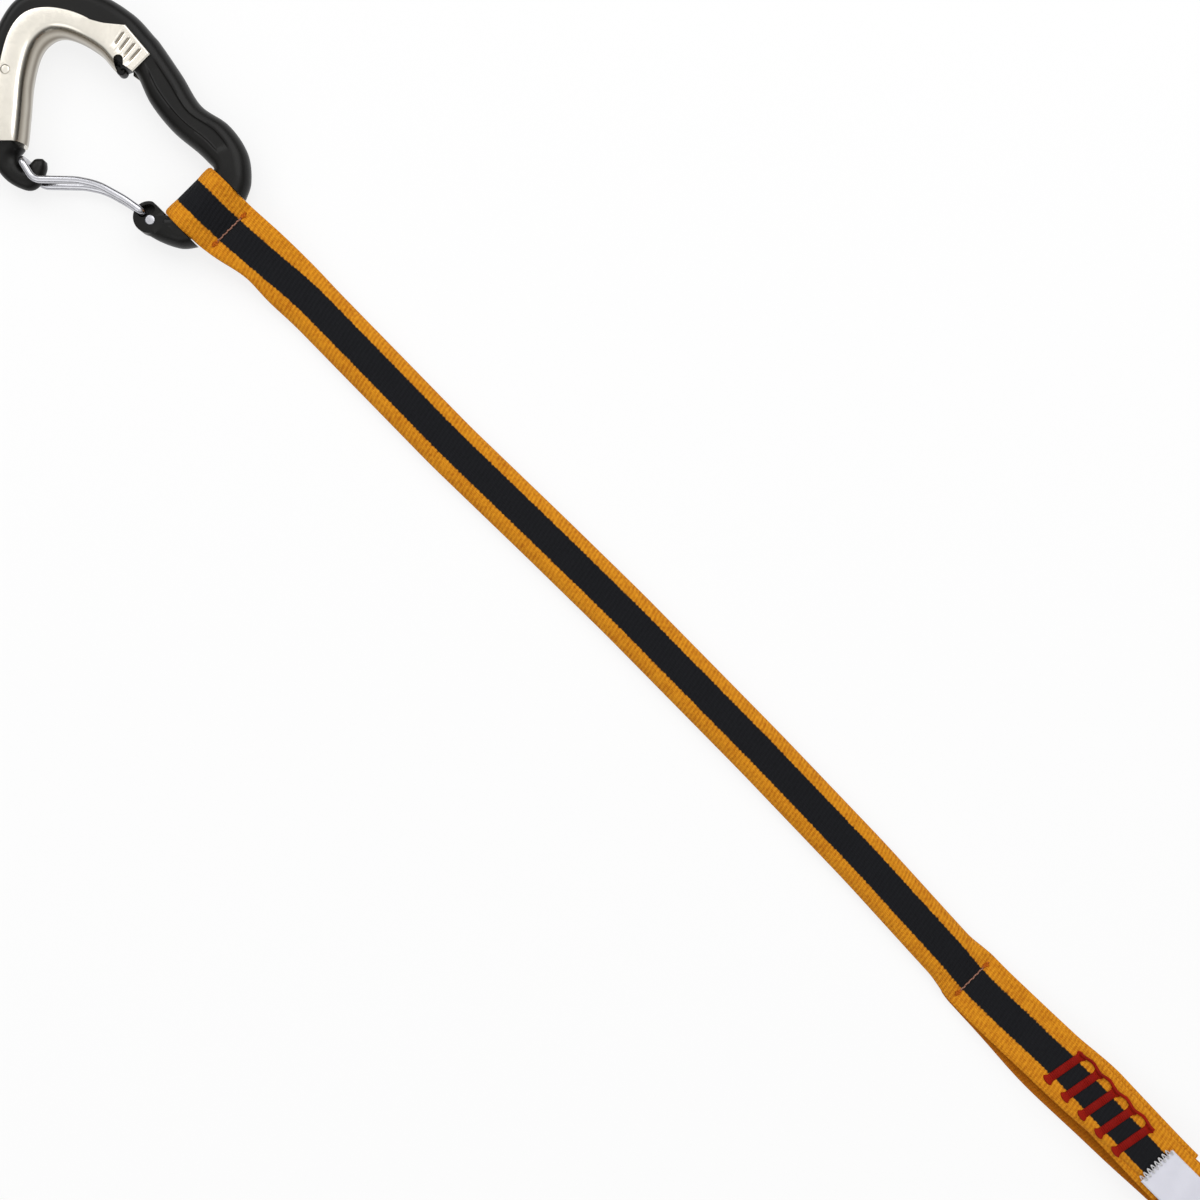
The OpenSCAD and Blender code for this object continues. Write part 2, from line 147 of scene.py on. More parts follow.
def catmull(rows: Array, u: Array) -> Array:
    """Curve through rows: the cubic whose slope at a row is half the step over its neighbours.

    Args:
        rows: One row of values for each station.
        u: Places along the rows, where 0 is the first row and 1 the second.

    Returns:
        One row of values for each place.
    """
    last = len(rows) - 1
    i = np.minimum(u.astype(int), last - 1)
    t = (u - i)[:, None]
    p0, p1, p2, p3 = (rows[np.clip(i + k, 0, last)] for k in (-1, 0, 1, 2))
    return 0.5 * (
        2 * p1
        + (p2 - p0) * t
        + (2 * p0 - 5 * p1 + 4 * p2 - p3) * t**2
        + (3 * p1 - p0 - 3 * p2 + p3) * t**3
    )


def grid_shell(
    points: Array, closed: bool = False, capped: bool = True, strip: Array | None = None
) -> Shell:
    """Surface over a grid of rings, each joined to the next and each closed on itself.

    Args:
        points: Rings of points, shaped (rings, points in a ring, 3).
        closed: Whether the last ring joins the first.
        capped: Whether open ends get a fan of triangles to their middle.
        strip: Places on a strip, shaped as the rings with one more point in each.

    Returns:
        The shell.
    """
    n, m, _ = points.shape
    i, j = np.meshgrid(np.arange(n if closed else n - 1), np.arange(m), indexing="ij")
    after, beside = (i + 1) % n, (j + 1) % m
    quads = np.stack([i * m + j, after * m + j, after * m + beside, i * m + beside], -1)
    faces = quads.reshape(-1, 4).tolist()
    flat = points.reshape(-1, 3)
    uv = None
    if strip is not None:
        corners = [strip[i, j], strip[i + 1, j], strip[i + 1, j + 1], strip[i, j + 1]]
        uv = np.stack(corners, 2).reshape(-1, 2)
    if capped and not closed:
        flat = np.concatenate([flat, points[0].mean(0)[None], points[-1].mean(0)[None]])
        first = np.arange(m)
        second = (first + 1) % m
        last = (n - 1) * m
        hub = np.full(m, n * m)
        fans = [[hub, first, second], [hub + 1, last + second, last + first]]
        faces += np.concatenate([np.stack(fan, 1) for fan in fans]).tolist()
        if uv is not None:
            uv = np.concatenate([uv, np.zeros((2 * 3 * m, 2))])
    return Shell(flat, faces, uv)


def strip_map(across: Array, along: Array) -> Array:
    """Map of a strip along a path: each ring's places across it, closed, and its place along.

    Args:
        across: Place across the strip, shaped (rings, points).
        along: Place along the strip for each ring.

    Returns:
        Places shaped (rings, points + 1, 2).
    """
    wide = np.concatenate([across, across[:, :1]], 1)
    return np.stack([wide, np.repeat(along[:, None], wide.shape[1], 1)], -1)


def turned_shell(radius: Array, height: Array, sides: int = 64) -> Shell:
    """Solid of revolution about z: each profile point goes round a circle at its height.

    Args:
        radius: Radii along the profile.
        height: Heights along the profile.
        sides: Points round each circle.

    Returns:
        The shell, with both ends capped.
    """
    angle = np.linspace(0, FULL_TURN, sides, endpoint=False)
    wide = radius[:, None]
    level = np.repeat(height[:, None], sides, 1)
    return grid_shell(np.stack([wide * np.cos(angle), wide * np.sin(angle), level], -1))


def tube_shell(
    path: Array, radius: Array, sideways: Array, sides: int, strip: Array | None = None
) -> Shell:
    """Round tube: a circle of the given radius square to the path at each of its points.

    Args:
        path: Points of the centreline.
        radius: Radius at each point.
        sideways: Direction that the path never runs along, which keeps the tube from twisting.
        sides: Points round each circle.
        strip: Place along the tube for each point, put into the map's first coordinate.

    Returns:
        The shell, with both ends capped.
    """
    along = np.gradient(path, axis=0)
    along /= np.linalg.norm(along, axis=1, keepdims=True)
    normal = sideways - (along @ sideways)[:, None] * along
    normal /= np.linalg.norm(normal, axis=1, keepdims=True)
    other = np.cross(along, normal)
    angle = np.linspace(0, FULL_TURN, sides, endpoint=False)[None, :, None]
    round_ = np.cos(angle) * normal[:, None] + np.sin(angle) * other[:, None]
    rings = path[:, None] + radius[:, None, None] * round_
    where = None
    if strip is not None:
        where = np.stack(np.broadcast_arrays(strip[:, None], np.arange(sides + 1.0)[None]), -1)
    return grid_shell(rings, strip=where)


def shell_mesh(name: str, shells: list[Shell]) -> bpy.types.Mesh:
    """Mesh of one or more shells, with its normals turned outwards.

    Args:
        name: Name of the mesh.
        shells: Shells, all in one frame.

    Returns:
        The mesh.
    """
    joined = bmesh.new()
    for shell in shells:
        mesh = bpy.data.meshes.new(name)
        mesh.from_pydata(shell.points.tolist(), [], shell.faces)
        if shell.strip is not None:
            layer = mesh.uv_layers.new(name=UV_NAME)
            layer.data.foreach_set("uv", shell.strip.astype(np.float32).ravel())
        joined.from_mesh(mesh)
        bpy.data.meshes.remove(mesh)
    bmesh.ops.recalc_face_normals(joined, faces=joined.faces)
    mesh = bpy.data.meshes.new(name)
    joined.to_mesh(mesh)
    joined.free()
    return mesh


def add_piece(
    mesh: bpy.types.Mesh,
    material: bpy.types.Material,
    body: str,
    node: str,
    crease: float,
) -> bpy.types.Object:
    """Object at the origin that rides on a body and stands for a CAD node.

    Args:
        mesh: Mesh in row metres.
        material: Its finish.
        body: Body that carries it.
        node: CAD node that it stands for.
        crease: Angle in degrees above which an edge stays sharp.

    Returns:
        The object.
    """
    mesh.shade_smooth()
    mesh.set_sharp_from_angle(angle=math.radians(crease))
    mesh.materials.append(material)
    piece = bpy.data.objects.new(mesh.name, mesh)
    bpy.context.scene.collection.objects.link(piece)
    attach(piece, body)
    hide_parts(node)
    LOG.info("%s on %s, %d faces", piece.name, body, len(mesh.polygons))
    return piece


# Finishes


class Nodes:
    """Short ways to add nodes to the tree of a material or of the world."""

    def __init__(self, tree: bpy.types.NodeTree) -> None:
        """Keep the tree that the nodes go into."""
        self.tree = tree

    def add(
        self, kind: str, values: dict[str, object] | None = None, **settings: object
    ) -> bpy.types.Node:
        """Add a node.

        Args:
            kind: Its type.
            values: Inputs by name, each a number, a colour or a socket to link.
            settings: Properties of the node.

        Returns:
            The node.
        """
        node = self.tree.nodes.new(kind)
        for key, value in settings.items():
            setattr(node, key, value)
        for key, value in (values or {}).items():
            self.feed(node.inputs[key], value)
        return node

    def feed(self, socket: Socket, value: object) -> None:
        """Link a socket to another, or set its number or colour."""
        if isinstance(value, bpy.types.NodeSocket):
            self.tree.links.new(value, socket)
        else:
            colour = isinstance(value, tuple) and socket.type == "RGBA"
            socket.default_value = (*value, 1.0) if colour else value

    def math(
        self, operation: str, first: object, second: object = 0.0, third: object = 0.0
    ) -> Socket:
        """Result of a Math node on up to three numbers or sockets."""
        node = self.add("ShaderNodeMath", operation=operation)
        for socket, value in zip(node.inputs, (first, second, third)):
            self.feed(socket, value)
        return node.outputs[0]

    def between(self, value: object, low: float, high: float, start: float = 0.0) -> Socket:
        """Smooth step from the start at low to 1 at high."""
        values = {"Value": value, "From Min": low, "From Max": high, "To Min": start}
        node = self.add("ShaderNodeMapRange", values, interpolation_type="SMOOTHSTEP")
        return node.outputs["Result"]

    def wave(self, value: object) -> Socket:
        """Sine of a value, brought between 0 and 1."""
        return self.math("MULTIPLY_ADD", self.math("SINE", value), 0.5, 0.5)

    def sum_of(self, first: object, share: float, second: object, other: float) -> Socket:
        """Sum of two values, each times its own share."""
        return self.math("MULTIPLY_ADD", first, share, self.math("MULTIPLY", second, other))

    def seen(self) -> Socket:
        """1 for rays from the camera, from gloss and through glass, 0 for the light itself."""
        path = self.add("ShaderNodeLightPath")
        total = path.outputs["Is Camera Ray"]
        for name in ("Is Glossy Ray", "Is Transmission Ray"):
            total = self.math("MAXIMUM", total, path.outputs[name])
        return total


class Shader(Nodes):
    """A material with one Principled shader, fed by nodes on the piece's own coordinates."""

    def __init__(self, name: str) -> None:
        """Start a material with its shader and output."""
        self.material = bpy.data.materials.new(name)
        self.material.use_nodes = True
        super().__init__(self.material.node_tree)
        self.principled = self.tree.nodes["Principled BSDF"]

    def to_range(self, value: object, low: float, high: float) -> Socket:
        """Number between low and high for a value between 0 and 1."""
        return self.math("MULTIPLY_ADD", value, high - low, low)

    def mix(self, factor: object, first: object, second: object) -> Socket:
        """Colour between two colours or sockets."""
        node = self.add("ShaderNodeMix", data_type="RGBA")
        for place, value in ((0, factor), (6, first), (7, second)):
            self.feed(node.inputs[place], value)
        return node.outputs[2]

    def place(self) -> Socket:
        """Object coordinates, in metres."""
        return self.add("ShaderNodeTexCoord").outputs["Object"]

    def height(self) -> Socket:
        """Height of a point above the floor, in metres."""
        return self.add("ShaderNodeSeparateXYZ", {"Vector": self.place()}).outputs["Z"]

    def strip(self) -> tuple[Socket, Socket]:
        """The piece's own map: place across the strip and along it, in millimetres."""
        own_map = self.add("ShaderNodeUVMap", uv_map=UV_NAME)
        split = self.add("ShaderNodeSeparateXYZ", {"Vector": own_map.outputs[0]})
        return split.outputs[0], split.outputs[1]

    def noise(self, scale: float, vector: object, detail: float) -> Socket:
        """Noise between 0 and 1 with so many cells a unit."""
        values = {"Vector": vector, "Scale": scale, "Detail": detail}
        return self.add("ShaderNodeTexNoise", values).outputs[0]

    def bump(self, height: object, depth: float, strength: float) -> None:
        """Bend the shader's normal by a height of the given depth in metres."""
        values = {"Height": height, "Distance": depth, "Strength": strength}
        self.feed(self.principled.inputs["Normal"], self.add("ShaderNodeBump", values).outputs[0])

    def finish(self, **values: object) -> bpy.types.Material:
        """Set the shader's inputs by name, with spaces written as underscores.

        Args:
            values: Numbers, colours or sockets.

        Returns:
            The material.
        """
        for key, value in values.items():
            self.feed(self.principled.inputs[key.replace("_", " ")], value)
        return self.material


@dataclass(frozen=True)
class WebbingFinish:
    """Woven tape with a black middle stripe between orange borders."""

    orange: Colour = (0.77, 0.31, 0.014)
    orange_deep: Colour = (0.38, 0.095, 0.002)
    black: Colour = (0.010, 0.0105, 0.0125)
    black_deep: Colour = (0.004, 0.004, 0.005)
    # Painted shade: height range in metres below which the orange goes deeper, and the share of
    # brightness left there
    shaded_below: tuple[float, float] = (0.0012, 0.0022)
    shaded_share: float = 0.3
    stripe_half: float = 4.55
    yarn: float = 0.62
    # Blend from black to orange: the stripe's own edge, with painted shade reaching 0.35 mm into
    # the border beside it
    stripe_edge: tuple[float, float] = (-0.2, 0.35)
    rib: float = 1.35
    lean: float = 0.09
    fuzz_cells: float = 900.0
    cloud_cells: float = 150.0
    relief: float = 0.0003

    def material(self) -> bpy.types.Material:
        """Leaning ribs of weft, each row of yarn a little later, with painted shade where the weave
        lies low, beside the stripe, and below a set height on the lower layer.
        """
        s = Shader("woven_webbing")
        across, along = s.strip()
        row = s.math("FLOOR", s.math("DIVIDE", across, self.yarn))
        phase = s.math("MULTIPLY_ADD", row, self.lean, s.math("DIVIDE", along, self.rib))
        fuzz = s.noise(self.fuzz_cells, s.place(), detail=4.0)
        cloud = s.noise(self.cloud_cells, s.place(), detail=2.0)
        loose = s.math("MULTIPLY_ADD", cloud, 0.5, phase)
        rib = s.wave(s.math("MULTIPLY", loose, FULL_TURN))
        yarn = s.math("ABSOLUTE", s.math("SINE", s.math("MULTIPLY", across, math.pi / self.yarn)))
        height = s.sum_of(yarn, 0.35, rib, 0.65)
        ragged = s.sum_of(s.math("SUBTRACT", fuzz, 0.5), 0.9, rib, 0.15)
        edge = s.math("ADD", ragged, s.math("ABSOLUTE", across))
        # Painted shade: the soft blend darkens the border's edge beside the stripe
        stripe = s.between(edge, *(self.stripe_half + step for step in self.stripe_edge))
        # Shade mixes random tone from the noises with painted shade where the weave lies low
        shade = s.math("MULTIPLY_ADD", fuzz, 0.8, s.sum_of(height, 0.35, cloud, 0.3))
        # Painted shade: darker orange below a set height, on the lower layer where the upper one
        # shades it
        clear = s.to_range(s.between(s.height(), *self.shaded_below), self.shaded_share, 1.0)
        bright = s.math("MULTIPLY", s.between(shade, 0.2, 1.1), clear)
        orange = s.mix(bright, self.orange_deep, self.orange)
        black = s.mix(shade, self.black_deep, self.black)
        colour = s.mix(stripe, black, orange)
        s.bump(s.math("MULTIPLY_ADD", fuzz, 0.4, height), self.relief, strength=0.7)
        return s.finish(
            Base_Color=colour, Roughness=0.85, Sheen_Weight=0.02, Specular_IOR_Level=0.12
        )


@dataclass(frozen=True)
class ThreadFinish:
    """Twisted sewing thread, which may take another colour towards the ends of its row."""

    name: str
    middle: Colour
    ends: Colour
    change: tuple[float, float] = (4.4, 5.6)
    # Colour of the painted shade in the twist's hollows
    hollow_shade: Colour = (0.02, 0.004, 0.002)
    fuzz_cells: float = 2500.0
    twist: float = 9.0
    relief: float = 0.0001

    def material(self) -> bpy.types.Material:
        """Fine twist across the thread with painted shade in its hollows, and a change of colour
        along its row.
        """
        s = Shader(self.name)
        along, _ = s.strip()
        fuzz = s.noise(self.fuzz_cells, s.place(), detail=3.0)
        twist = s.wave(s.math("MULTIPLY", along, self.twist))
        outer = s.between(s.math("ABSOLUTE", along), *self.change)
        colour = s.mix(outer, self.middle, self.ends)
        # Painted shade: a darker copy of the thread's colour, mixed in along the twist's hollows
        # with random fuzz
        dark = s.mix(0.55, colour, self.hollow_shade)
        shaded = s.mix(s.sum_of(fuzz, 0.7, twist, 0.3), dark, colour)
        s.bump(s.math("ADD", twist, fuzz), self.relief, strength=0.6)
        return s.finish(Base_Color=shaded, Roughness=0.65, Specular_IOR_Level=0.1)


@dataclass(frozen=True)
class LabelFinish:
    """Bare woven label tape."""

    pale: Colour = (0.78, 0.78, 0.85)
    shade: Colour = (0.64, 0.64, 0.72)
    thread: float = 0.35
    cloud_cells: float = 200.0
    relief: float = 0.00008

    def material(self) -> bpy.types.Material:
        """Fine even weave of crossing threads."""
        s = Shader("label_tape")
        turns = [s.math("MULTIPLY", place, FULL_TURN / self.thread) for place in s.strip()]
        one, two = (s.math("SINE", turn) for turn in turns)
        weave = s.math("MULTIPLY_ADD", s.math("MULTIPLY", one, two), 0.5, 0.5)
        cloud = s.noise(self.cloud_cells, s.place(), detail=3.0)
        colour = s.mix(s.sum_of(cloud, 0.6, weave, 0.4), self.shade, self.pale)
        s.bump(weave, self.relief, strength=0.5)
        return s.finish(Base_Color=colour, Roughness=0.7, Sheen_Weight=0.1)


@dataclass(frozen=True)
class AnodisedFinish:
    """Black anodised forging with a fine blasted grain."""

    black: Colour = (0.011, 0.0105, 0.0095)
    deep: Colour = (0.004, 0.004, 0.004)
    rough: tuple[float, float] = (0.3, 0.4)
    grain_cells: float = 3200.0
    cloud_cells: float = 90.0
    relief: float = 0.00004

    def material(self) -> bpy.types.Material:
        """Grain of fine noise, with slow changes of gloss over it."""
        s = Shader("black_anodised")
        place = s.place()
        grain = s.noise(self.grain_cells, place, detail=2.0)
        cloud = s.noise(self.cloud_cells, place, detail=3.0)
        colour = s.mix(s.sum_of(grain, 0.4, cloud, 0.6), self.deep, self.black)
        rough = s.to_range(cloud, *self.rough)
        s.bump(grain, self.relief, strength=0.25)
        return s.finish(Base_Color=colour, Roughness=rough, Specular_IOR_Level=0.17)


@dataclass(frozen=True)
class SteelFinish:
    """Polished steel with fine drawn lines."""

    name: str
    bright: Colour
    dull: Colour
    rough: tuple[float, float]
    # Colour of a darker band: painted reflection on the insert's round, painted shade in its tab's
    # grooves
    band: Colour | None = None
    line_cells: tuple[float, float, float] = (900.0, 900.0, 120.0)
    cloud_cells: float = 120.0
    streaks: float = 9.0
    relief: float = 0.00002

    def material(self) -> bpy.types.Material:
        """Noise drawn out along one axis for polishing lines, and a darker band where the map marks
        it: painted reflection streaks on the insert's round, painted shade in its tab's grooves.
        """
        s = Shader(self.name)
        place = s.place()
        stretched = s.add("ShaderNodeMapping", {"Vector": place, "Scale": self.line_cells})
        lines = s.noise(1.0, stretched.outputs[0], detail=4.0)
        cloud = s.noise(self.cloud_cells, place, detail=2.0)
        s.bump(lines, self.relief, strength=0.15)
        mixed = s.sum_of(lines, 0.5, cloud, 0.5)
        colour = s.mix(mixed, self.dull, self.bright)
        if self.band:
            reach, height = s.strip()
            streak = s.math("SINE", s.sum_of(cloud, 1.5, height, self.streaks))
            streak = s.math("MULTIPLY_ADD", streak, 0.22, 0.72)
            # Painted reflection streaks across the round, and painted shade in the grooves, from
            # the map
            painted_dark = s.math("MULTIPLY", s.between(reach, 0.3, 0.8), streak)
            colour = s.mix(painted_dark, colour, self.band)
        return s.finish(Base_Color=colour, Metallic=1.0, Roughness=s.to_range(mixed, *self.rough))


CROSS_THREAD = ThreadFinish("cross_stitch", (0.42, 0.21, 0.15), (0.58, 0.13, 0.006))
RED_THREAD = ThreadFinish("red_thread", (0.30, 0.006, 0.003), (0.38, 0.010, 0.002))
LABEL_THREAD = ThreadFinish("label_thread", (0.8, 0.8, 0.82), (0.7, 0.7, 0.72))
# The insert's darker band is painted reflection on its round and painted shade in its grooves
INSERT_STEEL = SteelFinish(
    "polished_insert", (0.84, 0.80, 0.72), (0.70, 0.66, 0.58), (0.14, 0.3), (0.20, 0.17, 0.13)
)
WIRE_STEEL = SteelFinish("drawn_wire", (0.62, 0.62, 0.65), (0.40, 0.40, 0.43), (0.16, 0.3))


@dataclass(frozen=True)
class Finishes:
    """All finishes of the quickdraw, each made once."""

    webbing: bpy.types.Material = field(default_factory=WebbingFinish().material)
    cross_thread: bpy.types.Material = field(default_factory=CROSS_THREAD.material)
    red_thread: bpy.types.Material = field(default_factory=RED_THREAD.material)
    label_thread: bpy.types.Material = field(default_factory=LABEL_THREAD.material)
    label: bpy.types.Material = field(default_factory=LabelFinish().material)
    anodised: bpy.types.Material = field(default_factory=AnodisedFinish().material)
    insert: bpy.types.Material = field(default_factory=INSERT_STEEL.material)
    wire: bpy.types.Material = field(default_factory=WIRE_STEEL.material)


# Carabiner


@dataclass
class Carabiner:
    """Forged body, steel wear insert, rivet and wire gate of one end."""

    end: End
    finishes: Finishes
    # Forging: half depths, rounds and sling seat
    middle: Array = spot(*ROW_MIDDLE)
    lie: float = ROD_HEIGHT
    half: float = 5.5
    tongue: float = 3.0
    edge_round: float = 4.2
    round_share: float = 0.45
    seat_r: float = 4.98
    seat_half: float = 12.4
    # Sunk panel of the spine: its run in stations, and its bare border and slope across a face
    panel_depth: float = 0.6
    panel_run: tuple[float, float] = (2.1, 5.8)
    panel_ease: float = 2.5
    panel_border: tuple[float, float] = (0.02, 0.12)
    # Gate eye: its spot faces (radius and height), pin bore and slot, clear of the webbing
    eye: Array = spot(-8.2, -14.6)
    eye_r: float = 5.0
    eye_rim: float = 0.35
    clear: float = 10.3
    spot_face: tuple[float, float] = (5.5, 6.0)
    spot_sink: float = 0.03
    pivot: Array = spot(-7.2, -14.95)
    bore_fit: float = 0.06
    bore_half: float = 7.0
    slot_r: float = 1.55
    slot_top: float = 8.0
    opening: float = 45.0
    # Gate wire: its bends as x, y and radius, its tip and ends, and its head's radius, rise and rim
    wire: float = 1.2
    wire_z: float = 4.55
    stagger: float = 3.4
    gate_run: Array = spot(
        [-17.0, -16.0, 30.0], [-26.0, -18.6, 20.0], [-31.5, -22.2, 20.0], [-41.4, -31.7, 4.0]
    )
    gate_tip: Array = spot(-48.9, -29.9)
    tip_bend: float = 2.6
    foot_bend: float = 1.5
    pin_top: float = 3.08
    free_end: float = 0.35
    end_taper: tuple[float, float] = (0.15, 0.25)
    wire_side: Array = spot(-0.34, 0.94, 0.0)
    head: tuple[float, float, float] = (1.5, 0.35, 0.3)
    head_sink: float = 0.02
    # Steel insert: its first and last station, wall on the faces and under the rope, and rim
    tab_end: int = 7
    nose_end: int = 15
    flange: float = 1.05
    band: float = 1.4
    seat_fit: float = 0.05
    seat_ease: float = 4.0
    insert_round: float = 3.2
    lip: float = 0.3
    # Its tab: both edges as places along and across, how far its faces stand above the channel's,
    # its rounded edge as depth and share, and its sloping front as depth and length
    tab_low: Array = spot([42.5, 47.8, 49.0, 61.1, 65.0], [13.9, 13.0, 13.9, 15.3, 13.5])
    tab_high: Array = spot(
        [42.5, 54.3, 59.5, 60.6, 61.7, 63.0, 65.0], [21.5, 22.5, 18.1, 17.4, 16.75, 16.0, 14.9]
    )
    tab_rise: tuple[float, float] = (0.02, 0.01)
    tab_edge: tuple[float, float] = (0.35, 0.06)
    tab_front: tuple[float, float] = (0.3, 0.5)
    # Fan of worn grooves in the tab, which fade downwards and close at their upper end
    grooves: int = 4
    groove_run: tuple[float, float] = (-53.1, -45.8)
    groove_lean: tuple[float, float] = (-0.18, -0.06)
    groove_half: float = 0.42
    groove_deep: float = 0.5
    groove_top: float = 20.4
    groove_fade: tuple[float, float] = (8.0, 5.0)
    groove_close: tuple[float, float] = (0.5, 0.9)
    # Rivet and stop lug, with the hole and the notch that the insert has for them
    rivet: Array = spot(-70.8, -13.6)
    rivet_r: float = 1.42
    rivet_hole: float = 1.5
    rivet_rise: float = 0.1
    rivet_rim: float = 0.4
    lug: Array = spot(-48.5, 12.7)
    lug_reach: Array = spot(1.5, -1.1)
    lug_r: float = 1.5
    lug_half: float = 2.2
    lug_rim: float = 0.6
    notch: Array = spot(-48.2, 13.3)
    notch_reach: Array = spot(2.8, -3.0)
    # Cutters: half length of one that goes right through, and rim of one that leaves a sharp edge
    through: float = 9.0
    sharp: float = 0.05

    def stations(self) -> Array:
        """Rows of the body: outer edge, inner edge, half depth and rim left outside the steel."""
        h, t = self.half, self.tongue
        return np.array([
            [8.6, 10.4, -5.0, 10.4, h - 0.5, 5],
            [5.6, 16.0, -5.6, 10.6, h - 0.3, 5],
            [-1.5, 21.5, -7.6, 10.6, h - 0.2, 5],
            [-11.5, 23.4, -12.5, 10.5, h, 5],
            [-22.0, 21.6, -22.5, 9.6, h, 5],
            [-33.0, 24.1, -33.5, 10.8, h, 5],
            [-44.0, 26.2, -44.4, 14.3, h, 8],
            [-48.0, 26.6, -47.8, 10.4, h, 11],
            [-57.2, 26.8, -55.0, 10.5, h, 10.3],
            [-69.0, 23.7, -62.5, 8.8, h, 9.1],
            [-79.2, 15.9, -67.9, 5.9, h, 7.6],
            [-85.6, 6.5, -69.9, 2.0, h, 7.2],
            [-84.9, -3.8, -69.2, -3.2, h, 6.2],
            [-79.0, -16.0, -64.6, -10.8, h, 6.2],
            [-70.3, -26.2, -57.6, -19.2, h, 6.0],
            [-60.5, -34.4, -52.2, -26.0, h - 0.3, 5.6],
            [-54.5, -37.4, -51.1, -30.0, t, 4],
            [-48.0, -38.0, -49.4, -31.5, t, 4],
            [-41.8, -35.7, -47.3, -31.4, t, 4],
            [-40.2, -32.0, -47.0, -29.6, t, 4],
            [-42.0, -27.2, -46.9, -27.0, t - 0.3, 4],
            [-43.8, -25.4, -45.3, -25.3, t - 1.2, 4],
        ])

    def arm_stations(self) -> Array:
        """Rows of the arm that carries the gate eye, in the same form."""
        h, t = self.half, self.tongue
        return np.array([
            [8.4, -10.4, -5.0, -10.4, h - 0.5, 5],
            [5.2, -14.4, -5.8, -10.6, h - 0.7, 5],
            [-1.0, -17.6, -7.4, -10.6, h - 1.4, 5],
            [-8.2, -19.5, -9.0, -10.6, t, 5],
        ])

    def placed(self, points: Array) -> Array:
        """Points from the carabiner's own frame in the row frame, turned over at the bolt end.

        Args:
            points: Points in millimetres.

        Returns:
            The points in metres.
        """
        flip = np.array([1.0, 1.0, 1.0] if self.end is End.ROPE else [-1.0, 1.0, -1.0])
        seat = np.array([-self.middle[0] * flip[0], -self.middle[1], self.lie])
        return (points * flip + seat) * MM

    def place_mesh(self, mesh: bpy.types.Mesh) -> None:
        """Put the points of a mesh from the carabiner's own frame into the row frame."""
        points = np.empty(3 * len(mesh.vertices))
        mesh.vertices.foreach_get("co", points)
        mesh.vertices.foreach_set("co", self.placed(points.reshape(-1, 3)).ravel())
        mesh.update()

    def node(self, name: str) -> str:
        """Name of this end's CAD node."""
        return f"{self.end.value}_{name}"

    def lofted(self, rows: Array, across: Array, height: Array) -> Array:
        """Rings of a loft: each ring runs from a row's outer edge towards its inner edge.

        Args:
            rows: One row for each ring.
            across: Distance from the outer edge for each point of each ring.
            height: Height of each point.

        Returns:
            Points shaped (rings, points, 3).
        """
        outer, inner = rows[:, 0:2], rows[:, 2:4]
        way = (inner - outer) / np.linalg.norm(inner - outer, axis=1, keepdims=True)
        plan = outer[:, None] + across[..., None] * way[:, None]
        return np.concatenate([plan, height[..., None]], -1)

    def forged_rings(self, rows: Array, seat: Array, recess: Array) -> Array:
        """Rings of the forging: two elliptic edges, joined by faces with a sunk panel.

        Args:
            rows: One row for each ring.
            seat: 1 where the inner edge stands back under the steel, 0 elsewhere.
            recess: Depth of the panel.

        Returns:
            Points shaped (rings, points, 3).
        """
        wide = np.linalg.norm(rows[:, 2:4] - rows[:, 0:2], axis=1)
        wide = wide - seat * (self.band + self.seat_fit)
        inner_round = self.edge_round + seat * (self.insert_round - self.band - self.edge_round)
        most = self.round_share * wide
        a, b = (np.minimum(edge, most)[:, None] for edge in (self.edge_round, inner_round))
        depth, wide, sunk = rows[:, 4][:, None], wide[:, None], recess[:, None]
        turn = np.linspace(-np.pi / 2, np.pi / 2, 19)[None]
        part = np.linspace(0, 1, 19)[None, 1:-1]
        bare, ease = self.panel_border
        dip = smooth((part - bare) / ease) * smooth((1 - bare - part) / ease) * sunk
        face = a + (wide - a - b) * part
        across = np.concatenate(
            [wide - b + b * np.cos(turn), face[:, ::-1], a - a * np.cos(turn), face], 1
        )
        height = np.concatenate(
            [depth * np.sin(turn), (depth - dip)[:, ::-1], -depth * np.sin(turn), dip - depth], 1
        )
        return self.lofted(rows, across, height)

    def frame_shell(self) -> Shell:
        """Spine, basket and nose as one loft through the stations."""
        u = np.linspace(0, len(self.stations()) - 1, 337)
        seat = smooth((u - self.tab_end) * self.seat_ease + 1)
        seat *= smooth((self.nose_end - u) * self.seat_ease + 1)
        first, last = self.panel_run
        recess = self.panel_depth * smooth((u - first) * self.panel_ease)
        recess *= smooth((last - u) * self.panel_ease)
        return grid_shell(self.forged_rings(catmull(self.stations(), u), seat, recess))

    def arm_shell(self) -> Shell:
        """Arm from the sling seat to the gate eye as a loft."""
        u = np.linspace(0, len(self.arm_stations()) - 1, 49)
        zero = np.zeros_like(u)
        return grid_shell(self.forged_rings(catmull(self.arm_stations(), u), zero, zero))

    def post(
        self,
        centre: Array,
        radius: float,
        low: float,
        high: float,
        soft: float,
        reach: Array | None = None,
    ) -> Shell:
        """Upright post with quarter-round rims, drawn out to a bar where it has a reach.

        Args:
            centre: Middle of the post.
            radius: Its radius.
            low: Height of its lower face.
            high: Height of its upper face.
            soft: Radius of its rims.
            reach: Step from the middle of the post to the far end of the bar.

        Returns:
            The shell.
        """
        turn = np.linspace(0, np.pi / 2, 6)
        rim = radius - soft + soft * np.sin(turn)
        height = soft * (1 - np.cos(turn))
        shell = turned_shell(np.r_[rim, rim[::-1]], np.r_[low + height, (high - height)[::-1]])
        if reach is not None:
            shell.points[:, :2] += (shell.points[:, :2] @ reach > 0)[:, None] * reach
        shell.points[:, :2] += centre
        return shell

    def seat_shell(self) -> Shell:
        """Round bar that the sling sits on, along y between the shoulders."""
        shell = turned_shell(np.full(2, self.seat_r), self.seat_half * np.array([-1.0, 1.0]))
        shell.points = shell.points[:, [0, 2, 1]]
        return shell

